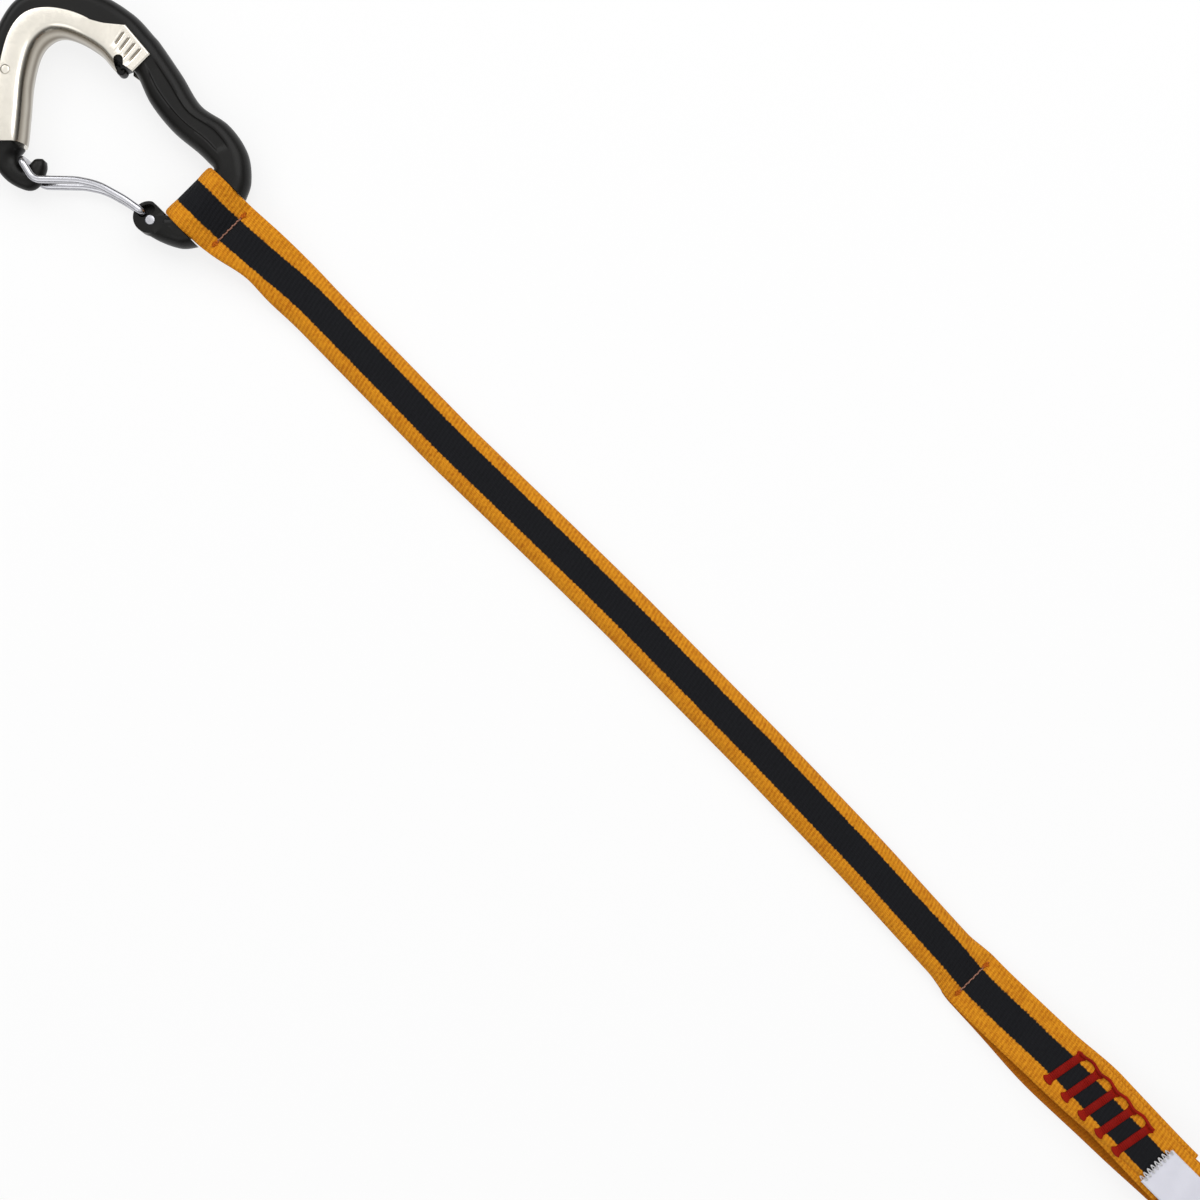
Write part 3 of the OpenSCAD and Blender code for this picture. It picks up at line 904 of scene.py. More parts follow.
    def slot_shell(self) -> Shell:
        """Arc slot: a round-ended band about the arc that the free wire end follows."""
        sweep = np.radians(np.linspace(180, 180 - self.opening, 25))
        outwards = np.stack([np.cos(sweep), np.sin(sweep)], 1)
        middle = self.pivot + self.stagger * outwards
        cap = np.radians(np.linspace(0, 180, 17))[1:-1, None]
        start_way, end_way = (np.array([-math.sin(a), math.cos(a)]) for a in (sweep[0], sweep[-1]))
        first = middle[0] + self.slot_r * (-np.cos(cap) * outwards[0] + np.sin(cap) * start_way)
        final = middle[-1] + self.slot_r * (np.cos(cap) * outwards[-1] - np.sin(cap) * end_way)
        outer, inner = middle + self.slot_r * outwards, middle - self.slot_r * outwards
        loop = np.concatenate([outer, final, inner[::-1], first])
        level = np.repeat(np.array([0.0, self.slot_top])[:, None, None], len(loop), 1)
        return grid_shell(np.concatenate([np.repeat(loop[None], 2, 0), level], -1))

    def worked(self, name: str, solid: Shell, steps: list[tuple[Step, Shell]]) -> bpy.types.Mesh:
        """Mesh of a solid after steps that join other solids to it or take them out of it.

        Args:
            name: Name of the mesh.
            solid: The first solid, in the carabiner's own frame.
            steps: What to do in order, and the solid to do it with.

        Returns:
            The mesh, in the row frame.
        """
        scene = bpy.context.scene.collection.objects
        piece = bpy.data.objects.new("work", shell_mesh("work", [solid]))
        scene.link(piece)
        helpers = []
        for step, shell in steps:
            helper = bpy.data.objects.new("tool", shell_mesh("tool", [shell]))
            scene.link(helper)
            helpers.append(helper)
            modifier = piece.modifiers.new(step.value, "BOOLEAN")
            modifier.operation, modifier.object, modifier.solver = step.value, helper, "EXACT"
        bpy.context.view_layer.update()
        graph = bpy.context.evaluated_depsgraph_get()
        result = bpy.data.meshes.new_from_object(piece.evaluated_get(graph))
        result.name = name
        for item in [piece, *helpers]:
            mesh = item.data
            bpy.data.objects.remove(item)
            bpy.data.meshes.remove(mesh)
        self.place_mesh(result)
        return result

    def build_body(self) -> None:
        """Forging: arm and gate eye, cut for the gate, then the sling seat, spine and stop lug."""
        eye = self.post(self.eye, self.eye_r, -self.tongue, self.tongue, self.eye_rim)
        eye.points[:, 1] = np.minimum(eye.points[:, 1], -self.clear)
        top = self.tongue - self.spot_sink
        bore, (wide, high) = self.bore_half, self.spot_face
        levels = (top, -top - high)
        cuts = [self.post(self.eye, wide, low, low + high, self.sharp) for low in levels]
        cuts += [self.post(self.pivot, self.wire + self.bore_fit, -bore, bore, self.sharp)]
        cuts += [self.slot_shell()]
        low, high = -self.lug_half, self.lug_half
        stop = self.post(self.lug, self.lug_r, low, high, self.lug_rim, self.lug_reach)
        steps = [(Step.JOIN, eye)] + [(Step.TAKE, cut) for cut in cuts]
        steps += [(Step.JOIN, solid) for solid in (self.seat_shell(), self.frame_shell(), stop)]
        mesh = self.worked(self.node("forging"), self.arm_shell(), steps)
        body, node = self.node("carabiner"), self.node("body")
        add_piece(mesh, self.finishes.anodised, body, node, crease=35)

    def channel_shell(self) -> Shell:
        """Open channel: outer skin over both faces and round the rope's edge, and inner skin."""
        u = np.linspace(self.tab_end, self.nose_end, 145)
        rows = catmull(self.stations(), u)
        wide = np.linalg.norm(rows[:, 2:4] - rows[:, 0:2], axis=1)[:, None]
        depth, rim = rows[:, 4][:, None] + self.seat_fit, rows[:, 5][:, None]
        turn = np.linspace(-np.pi / 2, np.pi / 2, 25)[None]
        full, round_ = depth + self.flange, self.insert_round
        edge = np.linspace(0, np.pi / 2, 5)[None]
        lip_across = rim + self.lip * (1 - np.sin(edge))
        lip_height = full - self.lip * (1 - np.cos(edge))
        across = np.concatenate([
            lip_across[:, ::-1],
            wide - round_ + round_ * np.cos(turn),
            lip_across,
            rim,
            wide - round_ + (round_ - self.band) * np.cos(turn),
            rim,
        ], 1)
        height = np.concatenate([
            -lip_height[:, ::-1],
            full * np.sin(turn),
            lip_height,
            depth,
            -depth * np.sin(turn),
            -depth,
        ], 1)
        ring = across.shape[1]
        last = len(rows) * ring
        # Map over the round of the outer skin, where the steel finish paints dark reflection
        # streaks
        mark = np.zeros((ring + 1, 2))
        mark[edge.size : edge.size + turn.size] = np.stack([np.cos(turn[0]), np.sin(turn[0])], 1)
        strip = np.repeat(mark[None], len(rows), 0)
        shell = grid_shell(self.lofted(rows, across, height), capped=False, strip=strip)
        shell.faces += [list(range(ring)), list(range(last - 1, last - ring - 1, -1))]
        shell.strip = np.concatenate([shell.strip, np.zeros((2 * ring, 2))])
        return shell

    def tab_shell(self, side: int) -> Shell:
        """Tab on one face: a plate between two edges, with worn grooves that fan out and fade.

        Args:
            side: 1 for the upper face, -1 for the lower one.

        Returns:
            The shell, with the depth of the grooves in its map, which the steel finish paints as
            shade.
        """
        x = np.linspace(-self.tab_low[0, 0], -self.tab_low[0, -1], 226)
        low, high = np.interp(-x, *self.tab_low), np.interp(-x, *self.tab_high)
        part = np.linspace(0, 1, 61)
        seat = self.half + self.seat_fit
        bottom, top = seat + self.tab_rise[0], seat + self.flange + self.tab_rise[1]
        y = low[:, None] + (high - low)[:, None] * part[None]
        rows = (self.groove_run, self.groove_lean)
        fan = zip(*(np.linspace(first, last, self.grooves) for first, last in rows))
        over = y - self.groove_top
        groove = sum(bell(x[:, None], at + lean * over, self.groove_half) for at, lean in fan)
        (fade, ease), (past, close) = self.groove_fade, self.groove_close
        groove *= smooth((over + fade) / ease) * smooth((self.groove_top + past - y) / close)
        (edge, share), (front, slope) = self.tab_edge, self.tab_front
        soft = edge * (1 - np.sqrt(np.clip(1 - (1 - smooth((1 - part) / share)) ** 2, 0, 1)))
        ends = smooth((x[0] - x) / slope)
        surface = top - self.groove_deep * groove - soft[None] - front * (1 - ends)[:, None]
        upper = np.stack([np.repeat(x[:, None], len(part), 1), y, surface], -1)
        under = upper.copy()
        under[..., 2] = bottom
        # The groove depth goes into the map, where the steel finish paints it as shade
        painted_dark = np.concatenate([groove, np.zeros_like(groove), groove[:, :1]], 1)
        strip = np.stack([painted_dark, np.zeros_like(painted_dark)], -1)
        shell = grid_shell(np.concatenate([upper, under[:, ::-1]], 1), strip=strip)
        shell.points[:, 2] *= side
        return shell

    def build_insert(self) -> None:
        """Steel insert: channel and both tabs, notched round the stop lug, then its rivet."""
        reach, sharp, body = self.through, self.sharp, self.node("carabiner")
        hole = self.post(self.rivet, self.rivet_hole, -reach, reach, sharp)
        lug_room = self.lug_r + self.seat_fit
        notch = self.post(self.notch, lug_room, -reach, reach, sharp, self.notch_reach)
        steps = [(Step.JOIN, self.tab_shell(side)) for side in (1, -1)]
        steps += [(Step.TAKE, hole), (Step.TAKE, notch)]
        mesh = self.worked(self.node("steel_insert"), self.channel_shell(), steps)
        node = self.node("wear_insert")
        add_piece(mesh, self.finishes.insert, body, node, crease=38)
        top = self.half + self.flange + self.rivet_rise
        pin = self.post(self.rivet, self.rivet_r, -top, top, self.rivet_rim)
        mesh = shell_mesh(self.node("steel_rivet"), [pin])
        self.place_mesh(mesh)
        node = self.node("insert_rivet")
        add_piece(mesh, self.finishes.insert, body, node, crease=50)

    def rounded(self, way: list[tuple[float, float, float, float]]) -> Array:
        """Path with every inner corner replaced by an arc of its own radius.

        Args:
            way: Corners as x, y, z and bend radius.

        Returns:
            Points of the path.
        """
        points = np.array(way)
        place, radius = points[:, :3], points[:, 3]
        back = place[:-2] - place[1:-1]
        ahead = place[2:] - place[1:-1]
        back /= np.linalg.norm(back, axis=1, keepdims=True)
        ahead /= np.linalg.norm(ahead, axis=1, keepdims=True)
        turn = np.arccos(np.clip(-(back * ahead).sum(1), -1, 1))
        half_way = back + ahead
        half_way /= np.linalg.norm(half_way, axis=1, keepdims=True)
        centre = half_way * (radius[1:-1] / np.cos(turn / 2))[:, None]
        reach = (radius[1:-1] * np.tan(turn / 2))[:, None]
        start, stop = back * reach - centre, ahead * reach - centre
        t = np.linspace(0, 1, 17)[None, :, None]
        angle = turn[:, None, None]
        arc = start[:, None] * np.sin(angle * (1 - t)) + stop[:, None] * np.sin(angle * t)
        bends = (place[1:-1] + centre)[:, None] + arc / np.sin(angle)
        return np.concatenate([place[:1], bends.reshape(-1, 3), place[-1:]])

    def build_gate(self) -> None:
        """Gate: one bent wire from its peened pin, round the tip and back to its free end."""
        px, py = self.pivot
        z, bend, tip = self.wire_z, self.foot_bend, self.gate_tip
        way = [(px, py, self.pin_top, 0.0), (px, py, -z, bend)]
        way += [(x, y, -z, r) for x, y, r in self.gate_run]
        way += [(*tip, -z, self.tip_bend), (*tip, z, self.tip_bend)]
        way += [(x, y, z, r) for x, y, r in self.gate_run[::-1]]
        way += [(px - self.stagger, py, z, bend), (px - self.stagger, py, self.free_end, 0.0)]
        corners = self.rounded(way)
        length = np.r_[0, np.cumsum(np.linalg.norm(np.diff(corners, axis=0), axis=1))]
        keep = np.r_[True, np.diff(length) > 1e-6]
        even = np.linspace(0, length[-1], 420)
        path = np.stack([np.interp(even, length[keep], corners[keep, k]) for k in range(3)], 1)
        share, over = self.end_taper
        taper = 1 - share * bell(even, 0.0, over) - share * bell(even, length[-1], over)
        sideways = self.wire_side / np.linalg.norm(self.wire_side)
        wire = tube_shell(path, self.wire * taper, sideways, sides=20)
        (wide, high, rim), low = self.head, self.tongue - self.head_sink
        head = self.post(self.pivot, wide, low, self.tongue + high, rim)
        mesh = shell_mesh(self.node("gate_wire"), [wire, head])
        self.place_mesh(mesh)
        body, node = self.node("gate"), self.node("wire_gate")
        add_piece(mesh, self.finishes.wire, body, node, crease=60)

    def build(self) -> None:
        """Build the body, the insert with its rivet and the gate."""
        self.build_body()
        self.build_insert()
        self.build_gate()


# Sling


@dataclass
class Sling:
    """Sewn webbing ring with its cross stitches, bar tacks, jump thread and label."""

    finishes: Finishes
    # Ring: its stations, the rods, the stitches and the folds that they press in, and the bolt loop
    middle: Array = spot(*ROW_MIDDLE)
    stations: int = 1440
    arc_points: int = 60
    ramp_points: int = 30
    lie: float = ROD_HEIGHT
    eye_r: float = 5.3
    rope_stitch: float = 10.5
    rope_fold: float = 11.7
    bolt_stitch: float = 344.4
    bolt_fold: float = 343.8
    loop: float = 118.4
    ramp: float = 42.0
    # Strip: its section, with the thinner flat middle, plump borders and round rims, each as a
    # share, and how the double part draws in and curls
    strip_points: int = 33
    half_width: float = 10.0
    drawn_half: float = 8.75
    thick: float = 1.3
    thin: float = 0.78
    flat_share: float = 0.45
    plump_share: float = 0.45
    rim_share: float = 0.3
    draw_start: tuple[float, float] = (20.0, 30.0)
    draw_end: float = 12.0
    curl: float = 2.0
    tilt: float = 0.45
    crease: float = 0.42
    crease_width: float = 2.0
    pinch: float = 0.35
    pinch_width: tuple[float, float] = (1.0, 1.2)
    # Swell and waist near the rope eye, each as size, place and width
    eye_swell: tuple[float, float, float] = (0.2, 3.0, 7.0)
    waist: tuple[float, float, float] = (2.0, 25.0, 9.0)
    # Rolled border of the bolt loop, as place and length at each end, and the lower layer's start
    droop: float = 3.2
    droop_fall: float = 0.7
    droop_start: tuple[float, float] = (380.0, 45.0)
    droop_end: tuple[float, float] = (455.0, 20.0)
    back_start: float = 340.0
    # Sideways waves of the upper layer and of the loop's lower one, as places and shifts
    wave_span: tuple[float, float] = (-12.0, 475.0)
    wave_steps: int = 975
    wave_window: int = 41
    wave: Array = spot(
        [6.0, 20.0, 41.0, 75.0, 108.0, 150.0, 184.0, 246.0, 294.0]
        + [313.0, 332.0, 348.0, 370.0, 384.0, 403.0, 425.0, 440.0, 458.0],
        [0.0, 0.8, 2.3, 1.9, 1.5, 2.3, 2.7, 2.2, 1.1]
        + [0.2, -0.7, -1.3, -0.7, -0.2, -0.9, -1.6, -1.6, 0.0],
    )
    back_wave: Array = spot(
        [332.0, 345.0, 354.0, 363.0, 372.0, 381.0, 390.0, 398.0, 403.0, 416.0, 425.0, 440.0, 458.0],
        [-0.7, -1.5, -1.8, -2.3, -3.0, -3.3, -3.0, -2.7, -2.5, -2.2, -1.7, -1.0, 0.0],
    )
    # Lapped end under the tacks, with the length over which it shifts
    lap_end: float = 5.0
    lap_tail: float = 18.0
    lap_shift: tuple[float, float] = (1.6, 20.0)
    # Rows of thread across the webbing: sway, rise and sink, radius and its gain in a knot
    rope_row: float = 11.8
    row_half: float = 7.5
    row_sway: float = 0.1
    row_rise: tuple[float, float] = (0.36, 0.3)
    row_r: tuple[float, float] = (0.24, 0.1)
    row_knot: float = 6.2
    knot_sway: tuple[float, float] = (0.55, 7.0)
    # Bar tacks: their flare as size, inset and width, their round ends as inset and length, and
    # the part of their width and height that the ridges take
    tacks: int = 5
    tack_start: float = 38.8
    tack_pitch: float = 7.5
    tack_length: float = 14.8
    tack_width: float = 2.7
    tack_slant: float = 9.6
    tack_flare: tuple[float, float, float] = (0.45, 0.8, 0.7)
    tack_end: tuple[float, float] = (0.7, 0.72)
    tack_ridge: float = 0.62
    tack_grain: tuple[float, float] = (0.07, 0.28)
    tack_sink: float = 0.1
    thread: float = 0.6
    # Jump thread, with its middle height and rise
    jump_r: float = 0.5
    jump_over: float = 1.0
    jump_twist: float = 0.1
    jump_inset: float = 0.5
    jump_bow: float = 0.35
    jump_height: tuple[float, float] = (0.68, 0.36)
    # Label: gap after the last tack, length, width and thickness, and ripple's height and rate
    label_gap: float = 10.6
    label_size: tuple[float, float, float] = (30.0, 14.0, 0.5)
    label_ripple: tuple[float, float] = (0.08, 0.7)
    label_edge: float = 0.04
    label_lift: float = 0.03
    # Its zigzag thread: pitch, middle and reach, then height, clearance and length of its climb
    zigzag_r: float = 0.22
    zigzag_inset: float = 0.6
    zigzag: tuple[float, float, float] = (1.6, 0.25, 1.05)
    zigzag_climb: tuple[float, float, float] = (0.35, 0.1, 1.2)

    def __post_init__(self) -> None:
        """Work out the slopes of the eye and of the loop, and the place of the bolt rod."""
        self.rope_slope = math.asin(self.eye_r / self.rope_stitch)
        rise = self.lie - self.thick
        span = math.hypot(self.loop, rise)
        self.loop_top = math.atan2(rise, self.loop) + math.asin(self.eye_r / span)
        self.loop_low = math.atan2(rise, self.loop) - math.asin(self.eye_r / span)
        self.bolt_x = self.bolt_stitch + self.loop

    def row(self, points: Array) -> Array:
        """Points from the sling's own frame, from the rope rod, into the row frame in metres."""
        return (points - np.array([self.middle[0], self.middle[1], 0.0])) * MM

    def drawn_in(self, x: Array) -> Array:
        """1 where the double middle draws in and curls at its edges, 0 at the flat ends."""
        start, over = self.draw_start
        return smooth((x - start) / over) * smooth((self.bolt_stitch - x) / self.draw_end)

    def eased(self, x: Array, table: Array) -> Array:
        """Straight lines through a table's places, smoothed by a bell-shaped mean.

        Args:
            x: Places along the sling.
            table: Places along the sling, and the shift at each.

        Returns:
            The shift at each place.
        """
        fine = np.linspace(*self.wave_span, self.wave_steps)
        window = np.hanning(self.wave_window)
        padded = np.pad(np.interp(fine, *table), self.wave_window // 2, mode="edge")
        return np.interp(x, fine, np.convolve(padded, window / window.sum(), "valid"))

    def wander(self, x: Array) -> Array:
        """Gentle sideways wave of the upper layer as it lies."""
        return self.eased(x, self.wave)

    def ring_path(self) -> tuple[Array, Array]:
        """Middle line of the strip from the side: rope eye, upper layer, bolt loop and lower layer.

        Returns:
            Even points as x and z, and 1 for the upper layer or 0 for the lower one.
        """
        r, t = self.eye_r + self.thick / 2, self.thick / 2
        arc, flat = self.arc_points, self.ramp_points
        eye = np.linspace(1.5 * np.pi + self.rope_slope, np.pi / 2 - self.rope_slope, arc)
        bolt = np.linspace(np.pi / 2 + self.loop_top, self.loop_low - np.pi / 2, arc)
        part = np.linspace(0, 1, flat)
        x = self.rope_stitch + t * math.tan(self.rope_slope / 2) + self.ramp * part
        z = self.lie + (self.thick - self.lie) * smooth(part)
        upper_knee = [self.bolt_stitch - t * math.tan(self.loop_top / 2), self.thick + t]
        lower_knee = [self.bolt_stitch + t * math.tan(self.loop_low / 2), self.thick - t]
        line = np.concatenate([
            np.stack([r * np.cos(eye), self.lie + r * np.sin(eye)], 1),
            np.stack([x, z + t], 1),
            [upper_knee],
            np.stack([self.bolt_x + r * np.cos(bolt), self.lie + r * np.sin(bolt)], 1),
            [lower_knee],
            np.stack([x, z - t], 1)[::-1],
        ])
        rise = np.linspace(0, 1, arc)
        layer = np.r_[rise, np.ones(flat + 1), rise[::-1], np.zeros(flat + 1)]
        line, layer = np.concatenate([line, line[:1]]), np.r_[layer, layer[0]]
        length = np.r_[0, np.cumsum(np.linalg.norm(np.diff(line, axis=0), axis=1))]
        even = np.linspace(0, length[-1], self.stations, endpoint=False)
        path = np.stack([np.interp(even, length, line[:, k]) for k in range(2)], 1)
        window = np.hanning(7)[1:-1] / np.hanning(7).sum()
        soft = sum(w * np.roll(path, k, 0) for k, w in zip(range(-2, 3), window))
        return soft, np.interp(even, length, layer)

    def section(
        self, x: Array, path: Array, normal: Array, sideways: Array, pinch: Array, droop: Array
    ) -> tuple[Array, Array]:
        """Strip carried along a path: a flat oval section that draws in and curls at its borders.

        Args:
            x: Place along the sling for each station.
            path: Middle line of the strip, as x, y and z.
            normal: Direction out of the strip at each station.
            sideways: Shift across the sling at each station.
            pinch: Part of the thickness that is pressed out at each station.
            droop: How far the gate-side border rolls inwards and down at each station.

        Returns:
            Points shaped (stations, points, 3), and the place across the strip of each point.
        """
        n = self.strip_points
        w = np.concatenate([np.linspace(-1, 1, n), np.linspace(1, -1, n)[1:-1]])
        side = np.concatenate([np.ones(n), -np.ones(n - 2)])
        mid = self.drawn_in(x)[:, None]
        border = (np.abs(w) - self.flat_share).clip(0) / (1 - self.flat_share)
        plump = self.thin + (1 - self.thin) * smooth(border / self.plump_share)
        rim = ((border - 1 + self.rim_share) / self.rim_share).clip(0, 1)
        round_ = plump * np.sqrt(np.clip(1 - rim**2, 0.0, 1.0))
        swell, waist = (size * bell(x, *place) for size, *place in (self.eye_swell, self.waist))
        full = self.half_width + (self.drawn_half - self.half_width) * mid + swell[:, None]
        full = full - self.tilt * mid * np.sign(w)
        gate_side = border * (w < 0)
        full = full - (waist + droop)[:, None] * (w < 0)
        flat = self.half_width * self.flat_share
        inner = np.minimum(np.abs(w), self.flat_share) * self.half_width
        y = np.sign(w) * (inner + border * (full - flat))
        lift = self.curl * mid * (1 - border**2)
        lift = lift - self.droop_fall * droop[:, None] * gate_side**2
        off = (self.thick / 2 * side * round_)[None] * (1 - pinch[:, None])
        points = path[:, None] + off[..., None] * normal[:, None]
        points[..., 1] += y + sideways[:, None] + self.tilt * mid
        points[..., 2] += lift
        return points, np.broadcast_to(w * self.half_width, y.shape)

    def build_webbing(self) -> None:
        """Ring of webbing, and the lapped end under the upper layer of the bolt loop."""
        path, layer = self.ring_path()
        along = np.roll(path, -1, 0) - np.roll(path, 1, 0)
        along /= np.linalg.norm(along, axis=1, keepdims=True)
        normal = np.stack([-along[:, 1], np.zeros(len(along)), along[:, 0]], 1)
        x = path[:, 0]
        back = (x > self.back_start) * (1 - smooth(layer * 2))
        sideways = self.wander(x) + back * (self.eased(x, self.back_wave) - self.wander(x))
        folds = (self.rope_fold, self.bolt_fold)
        pinch = sum(self.pinch * bell(x, at, wide) for at, wide in zip(folds, self.pinch_width))
        fold = sum(bell(x, at, self.crease_width) for at in folds)
        line = np.stack([x, np.zeros(len(x)), path[:, 1] - self.crease * layer * fold], 1)
        (start, over), (end, back_over) = self.droop_start, self.droop_end
        droop = self.droop * smooth((x - start) / over) * smooth((end - x) / back_over)
        droop *= smooth(layer * 2)
        rings, across = self.section(x, line, normal, sideways, pinch, droop)
        step = np.linalg.norm(np.roll(path, -1, 0) - path, axis=1)
        strip = strip_map(np.concatenate([across, across[:1]]), np.r_[0, np.cumsum(step)])
        ring = grid_shell(self.row(rings), closed=True, strip=strip)

        last_tack = self.tack_x(self.tacks - 1)
        place = np.linspace(self.tack_start - self.lap_end, last_tack + self.lap_tail, 80)
        zero = np.zeros_like(place)
        lap = self.on_loop(np.stack([place, zero, zero - 1.5 * self.thick], 1))
        up = np.array([[-math.sin(self.loop_top), 0.0, math.cos(self.loop_top)]])
        up = np.repeat(up, len(place), 0)
        shift, over = self.lap_shift
        aside = shift * smooth((place - place[0]) / over)
        rings, across = self.section(lap[:, 0], lap, up, aside, zero, zero)
        under = grid_shell(self.row(rings), strip=strip_map(across, place))
        mesh = shell_mesh("striped_webbing", [ring, under])
        add_piece(mesh, self.finishes.webbing, "sling", "sling_webbing", crease=70)

    def on_loop(self, points: Array) -> Array:
        """Points on the loop's upper face, from its stitch, in the sling's frame and with its wave.

        Args:
            points: Distance along the webbing, distance across it and height above it.

        Returns:
            The points in the sling's frame.
        """
        c, s = math.cos(self.loop_top), math.sin(self.loop_top)
        high = points[:, 2] + self.thick
        x = self.bolt_stitch + points[:, 0] * c - high * s
        z = self.thick + points[:, 0] * s + high * c
        return np.stack([x, points[:, 1] + self.wander(x), z], 1)

    def sewn(self, points: Array) -> Array:
        """Points on the loop's upper face, in an array of any shape, in the row frame in metres."""
        return self.row(self.on_loop(points.reshape(-1, 3))).reshape(points.shape)

    def cross_stitch(self, name: str, x: float, z: float, node: str) -> None:
        """Row of thread across the webbing: it rises and dives as a sine, with a knot at each end.

        Args:
            name: Name of the piece.
            x: Its place along the sling.
            z: Height of the webbing's upper face there.
            node: CAD node that it stands for.
        """
        y = np.linspace(-self.row_half, self.row_half, 400)
        knot = bell(np.abs(y), self.row_knot, 1.0)
        (sway, rate), (rise, sink), (thin, gain) = self.knot_sway, self.row_rise, self.row_r
        path = np.stack([
            x + self.row_sway * np.sin(np.pi * y) + sway * knot * np.sin(rate * y),
            y + self.wander(np.full_like(y, x)),
            z + rise * np.abs(np.sin(np.pi * y)) - sink,
        ], 1)
        radius = (thin + gain * knot) * MM
        tube = tube_shell(self.row(path), radius, np.array([1.0, 0.0, 0.0]), sides=10, strip=y)
        mesh = shell_mesh(name, [tube])
        add_piece(mesh, self.finishes.cross_thread, "sling", node, crease=60)

    def tack_x(self, i: int) -> float:
        """Place of a bar tack along the loop."""
        return self.tack_start + i * self.tack_pitch

    def build_tack(self, i: int) -> None:
        """Bar tack: a half-round pad of satin stitches, ridged across, with flared ends."""
        half = self.tack_length / 2
        along = np.linspace(-half, half, 220)
        (size, inset, width), (start, over) = self.tack_flare, self.tack_end
        flare = 1 + size * bell(np.abs(along), half - inset, width)
        past = (np.abs(along) - half + start).clip(0) / over
        ends = np.sqrt(np.clip(1 - past**2, 0.02, 1))
        ridge = np.abs(np.sin(np.pi * along / self.tack_ridge))
        narrow, flatter = (1 - share + share * ridge for share in self.tack_grain)
        wide = (self.tack_width / 2 * flare * ends * narrow)[:, None]
        tall = (self.thread * ends * flatter)[:, None]
        turn = np.linspace(0, np.pi, 15)
        across = np.concatenate([wide * np.cos(turn), wide * np.array([-0.5, 0.5])], 1)
        sole = np.full((len(along), 2), -self.tack_sink)
        height = np.concatenate([tall * np.sin(turn), sole], 1)
        slant = math.radians(self.tack_slant)
        place = along[:, None]
        flat = np.stack([
            self.tack_x(i) + across * math.cos(slant) + place * math.sin(slant),
            place * math.cos(slant) - across * math.sin(slant),
            height,
        ], -1)
        strip = np.stack(np.broadcast_arrays(place, np.arange(across.shape[1] + 1.0)[None]), -1)
        mesh = shell_mesh(f"red_tack_{i + 1}", [grid_shell(self.sewn(flat), strip=strip)])
        node = f"bartack_{i + 1}"
        add_piece(mesh, self.finishes.red_thread, "sling", node, crease=60)

    def build_jump(self) -> None:
        """Loose thread along the spine-side ends of the tacks, bowed out and down between them."""
        slant = math.radians(self.tack_slant)
        shift = self.tack_length / 2 - self.jump_inset
        first, last = self.tack_x(0), self.tack_x(self.tacks - 1)
        along = np.linspace(first - self.jump_over, last + self.jump_over, 320)
        swing = np.cos(FULL_TURN * (along - first) / self.tack_pitch)
        middle, rise = self.jump_height
        path = np.stack([
            along + shift * math.sin(slant),
            shift * math.cos(slant) + self.jump_bow * (1 - swing),
            middle + rise * swing,
        ], 1)
        radius, sideways = np.full(len(path), self.jump_r * MM), np.array([0.0, 1.0, 0.0])
        twist = along * self.jump_twist
        tube = tube_shell(self.sewn(path), radius, sideways, sides=10, strip=twist)
        mesh, node = shell_mesh("red_jump_thread", [tube]), "tack_jump_thread"
        add_piece(mesh, self.finishes.red_thread, "sling", node, crease=60)

    def build_label(self) -> None:
        """Bare label tape that ripples slightly, with a zigzag row of thread at each end."""
        long, wide, thick = self.label_size
        start = self.tack_x(self.tacks - 1) + self.label_gap
        along = np.linspace(0, long, 121)[:, None]
        part = np.concatenate([np.linspace(-1, 1, 41), np.linspace(1, -1, 41)])[None]
        side = np.concatenate([np.ones(41), np.zeros(41)])[None]
        size, rate = self.label_ripple
        ripple = size * (1 + np.sin(along * rate + part)) * np.ones_like(part)
        edge = ((np.abs(part) - 1 + self.label_edge) / self.label_edge).clip(0, 1)
        height = self.label_lift + ripple + side * thick * np.sqrt(np.clip(1 - edge**2, 0.1, 1))
        across = part * wide / 2 * np.ones_like(along)
        rings = self.sewn(np.stack([start + along * np.ones_like(part), across, height], -1))
        mesh = shell_mesh("label_tape", [grid_shell(rings, strip=strip_map(across, along[:, 0]))])
        label = add_piece(mesh, self.finishes.label, "sling", "label", crease=50)
        far = wide / 2 - self.zigzag_inset
        y = np.linspace(-far, far, 400)
        radius, sideways = np.full(len(y), self.zigzag_r * MM), np.array([0.3, 0.0, 1.0])
        (pitch, middle, swing), (low, room, climb) = self.zigzag, self.zigzag_climb
        for i, (place, way) in enumerate(((start, -1.0), (start + long, 1.0)), 1):
            reach = way * (middle + swing * np.sin(FULL_TURN * y / pitch))
            height = low + (thick + room) * smooth(0.5 - way * reach / climb)
            path = self.sewn(np.stack([place + reach, y, height], 1))
            tube = tube_shell(path, radius, sideways, sides=8, strip=y)
            mesh, node = shell_mesh(f"label_thread_{i}", [tube]), f"label_stitch_{i}"
            add_piece(mesh, self.finishes.label_thread, "sling", node, crease=60)

    def build(self) -> None:
        """Build the webbing, then what is sewn on it."""
        self.build_webbing()
        rope_top = self.lie + self.thick - self.crease
        bolt_top = 2 * self.thick - self.crease
        self.cross_stitch("rope_cross_stitch", self.rope_row, rope_top, "rope_eye_stitch")
        self.cross_stitch("bolt_cross_stitch", self.bolt_fold, bolt_top, "bolt_loop_stitch")
        for i in range(self.tacks):
            self.build_tack(i)
        self.build_jump()
        self.build_label()


# Studio


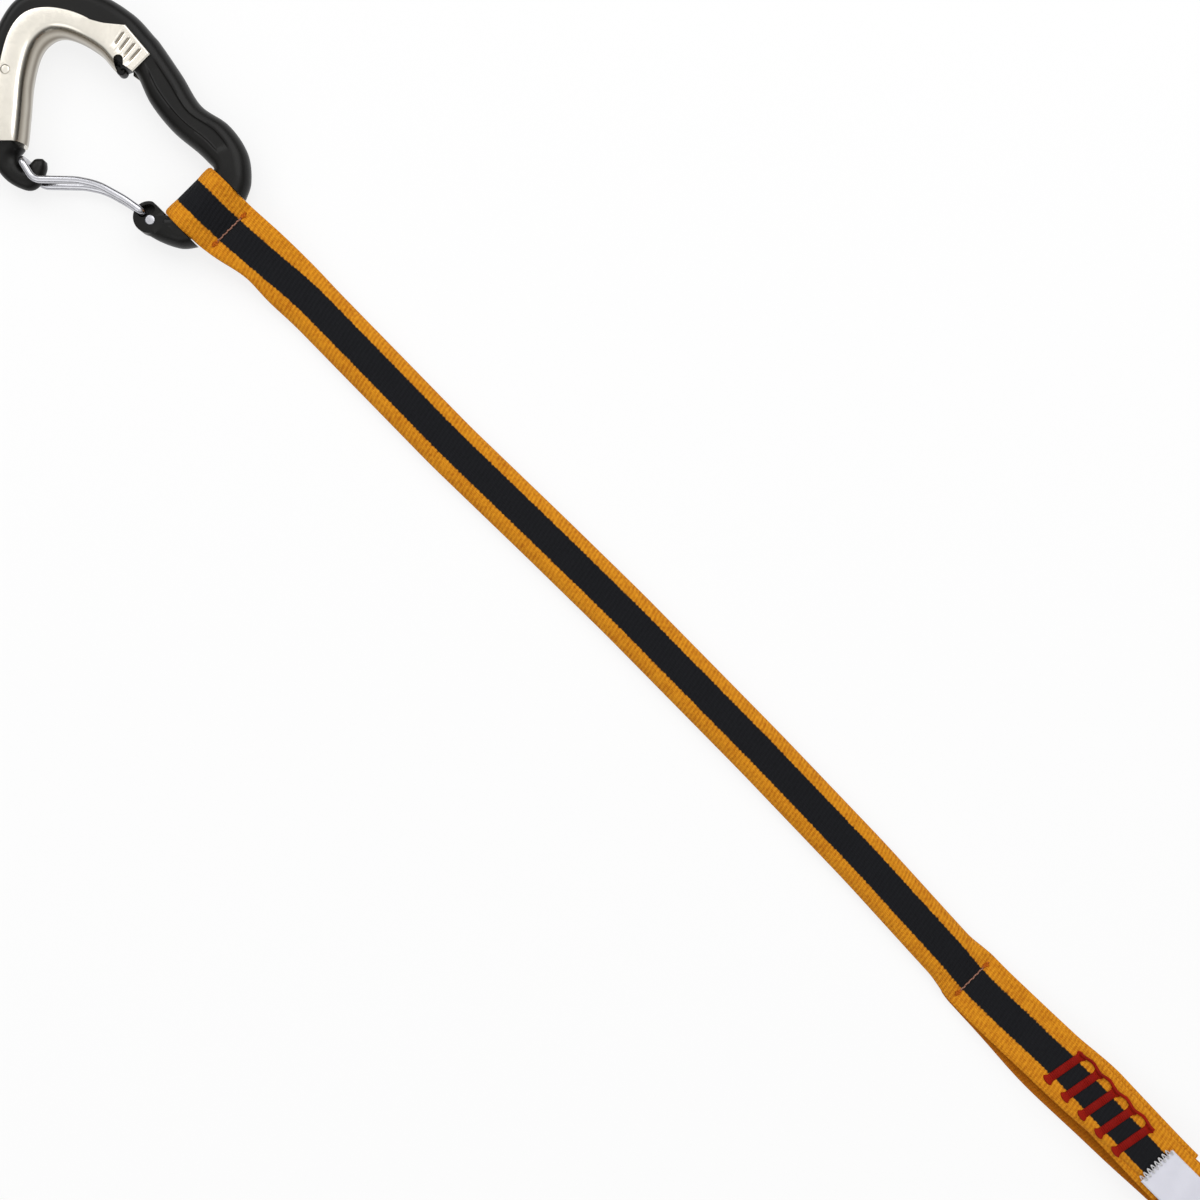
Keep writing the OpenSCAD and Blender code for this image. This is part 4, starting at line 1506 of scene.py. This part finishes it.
@dataclass
class Studio:
    """Pale floor, soft lamps, white surroundings and the camera straight above."""

    above: Place = (-0.0555, 0.0060, 0.55)
    lens: float = 51.97
    sensor: float = 36.0
    turn: float = 45.0
    sky: float = 0.72
    side: float = 0.16
    ceiling: tuple[float, float] = (0.2, 0.75)
    white: float = 0.8
    floor_half: float = 4.0
    floor_height: float = -0.0005
    floor_colour: Colour = (0.9, 0.9, 0.9)
    lamps: dict[str, tuple[Place, float, float]] = field(default_factory=lambda: {
        "key": ((-0.30, 0.75, 0.95), 1.2, 8.2),
        "fill": ((-0.1, -0.85, 0.6), 0.7, 1.2),
        "end_light": ((-1.2, 0.1, 0.75), 0.6, 2.8),
    })

    def build_camera(self) -> None:
        """Camera that looks straight down, with the sling from upper left to lower right."""
        data = bpy.data.cameras.new("camera")
        data.lens = self.lens
        data.sensor_width = self.sensor
        camera = bpy.data.objects.new("camera", data)
        camera.location = self.above
        camera.rotation_euler = (0.0, 0.0, math.radians(self.turn))
        bpy.context.scene.collection.objects.link(camera)
        bpy.context.scene.camera = camera

    def build_lamp(self, name: str, place: Place, size: float, power: float) -> None:
        """Square area lamp aimed at the middle of the view.

        Args:
            name: Its name.
            place: Where it stands, in metres.
            size: Its width, in metres.
            power: Its power, in watts.
        """
        data = bpy.data.lights.new(name, "AREA")
        data.size, data.energy = size, power
        lamp = bpy.data.objects.new(name, data)
        lamp.location = place
        aim = Vector((self.above[0], self.above[1], 0.0)) - Vector(place)
        lamp.rotation_euler = aim.to_track_quat("-Z", "Y").to_euler()
        bpy.context.scene.collection.objects.link(lamp)

    def build_sky(self) -> None:
        """World of a white ceiling over dimmer walls, which looks white behind the object."""
        world = bpy.data.worlds.new("soft_white")
        bpy.context.scene.world = world
        world.use_nodes = True
        n = Nodes(world.node_tree)
        way = n.add("ShaderNodeTexCoord").outputs["Generated"]
        height = n.add("ShaderNodeSeparateXYZ", {"Vector": way}).outputs["Z"]
        light = n.math(
            "MULTIPLY",
            n.between(height, *self.ceiling, self.side),
            n.math("MULTIPLY_ADD", n.seen(), 1.0 - self.sky, self.sky),
        )
        camera_ray = n.add("ShaderNodeLightPath").outputs["Is Camera Ray"]
        background = n.tree.nodes["Background"]
        n.feed(background.inputs["Color"], (1.0, 1.0, 1.0))
        n.feed(background.inputs["Strength"], n.math("MAXIMUM", light, camera_ray))

    def build_floor(self) -> None:
        """Plain pale floor that looks white and keeps a soft shadow."""
        mesh = bpy.data.meshes.new("floor")
        far, z = self.floor_half, self.floor_height
        corners = [(-far, -far, z), (far, -far, z), (far, far, z), (-far, far, z)]
        mesh.from_pydata(corners, [], [(0, 1, 2, 3)])
        s = Shader("pale_floor")
        mesh.materials.append(s.finish(Base_Color=self.floor_colour, Roughness=0.9))
        share = s.math("MULTIPLY", s.seen(), self.white)
        glow = s.add("ShaderNodeEmission", {"Strength": 1.0}).outputs[0]
        blend = s.add("ShaderNodeMixShader")
        for socket, value in zip(blend.inputs, (share, s.principled.outputs[0], glow)):
            s.feed(socket, value)
        s.feed(s.tree.nodes["Material Output"].inputs["Surface"], blend.outputs[0])
        floor = bpy.data.objects.new("floor", mesh)
        bpy.context.scene.collection.objects.link(floor)

    def build(self) -> None:
        """Build the camera, floor, surroundings and lamps."""
        bpy.context.scene.view_settings.view_transform = "Standard"
        self.build_camera()
        self.build_floor()
        self.build_sky()
        for name, (place, size, power) in self.lamps.items():
            self.build_lamp(name, place, size, power)


def main() -> None:
    """Build the studio and the object in order."""
    logging.basicConfig(level=logging.INFO, format="%(name)s: %(message)s")
    Studio().build()
    finishes = Finishes()
    Sling(finishes).build()
    for end in End:
        Carabiner(end, finishes).build()


if __name__ == "__main__":
    main()
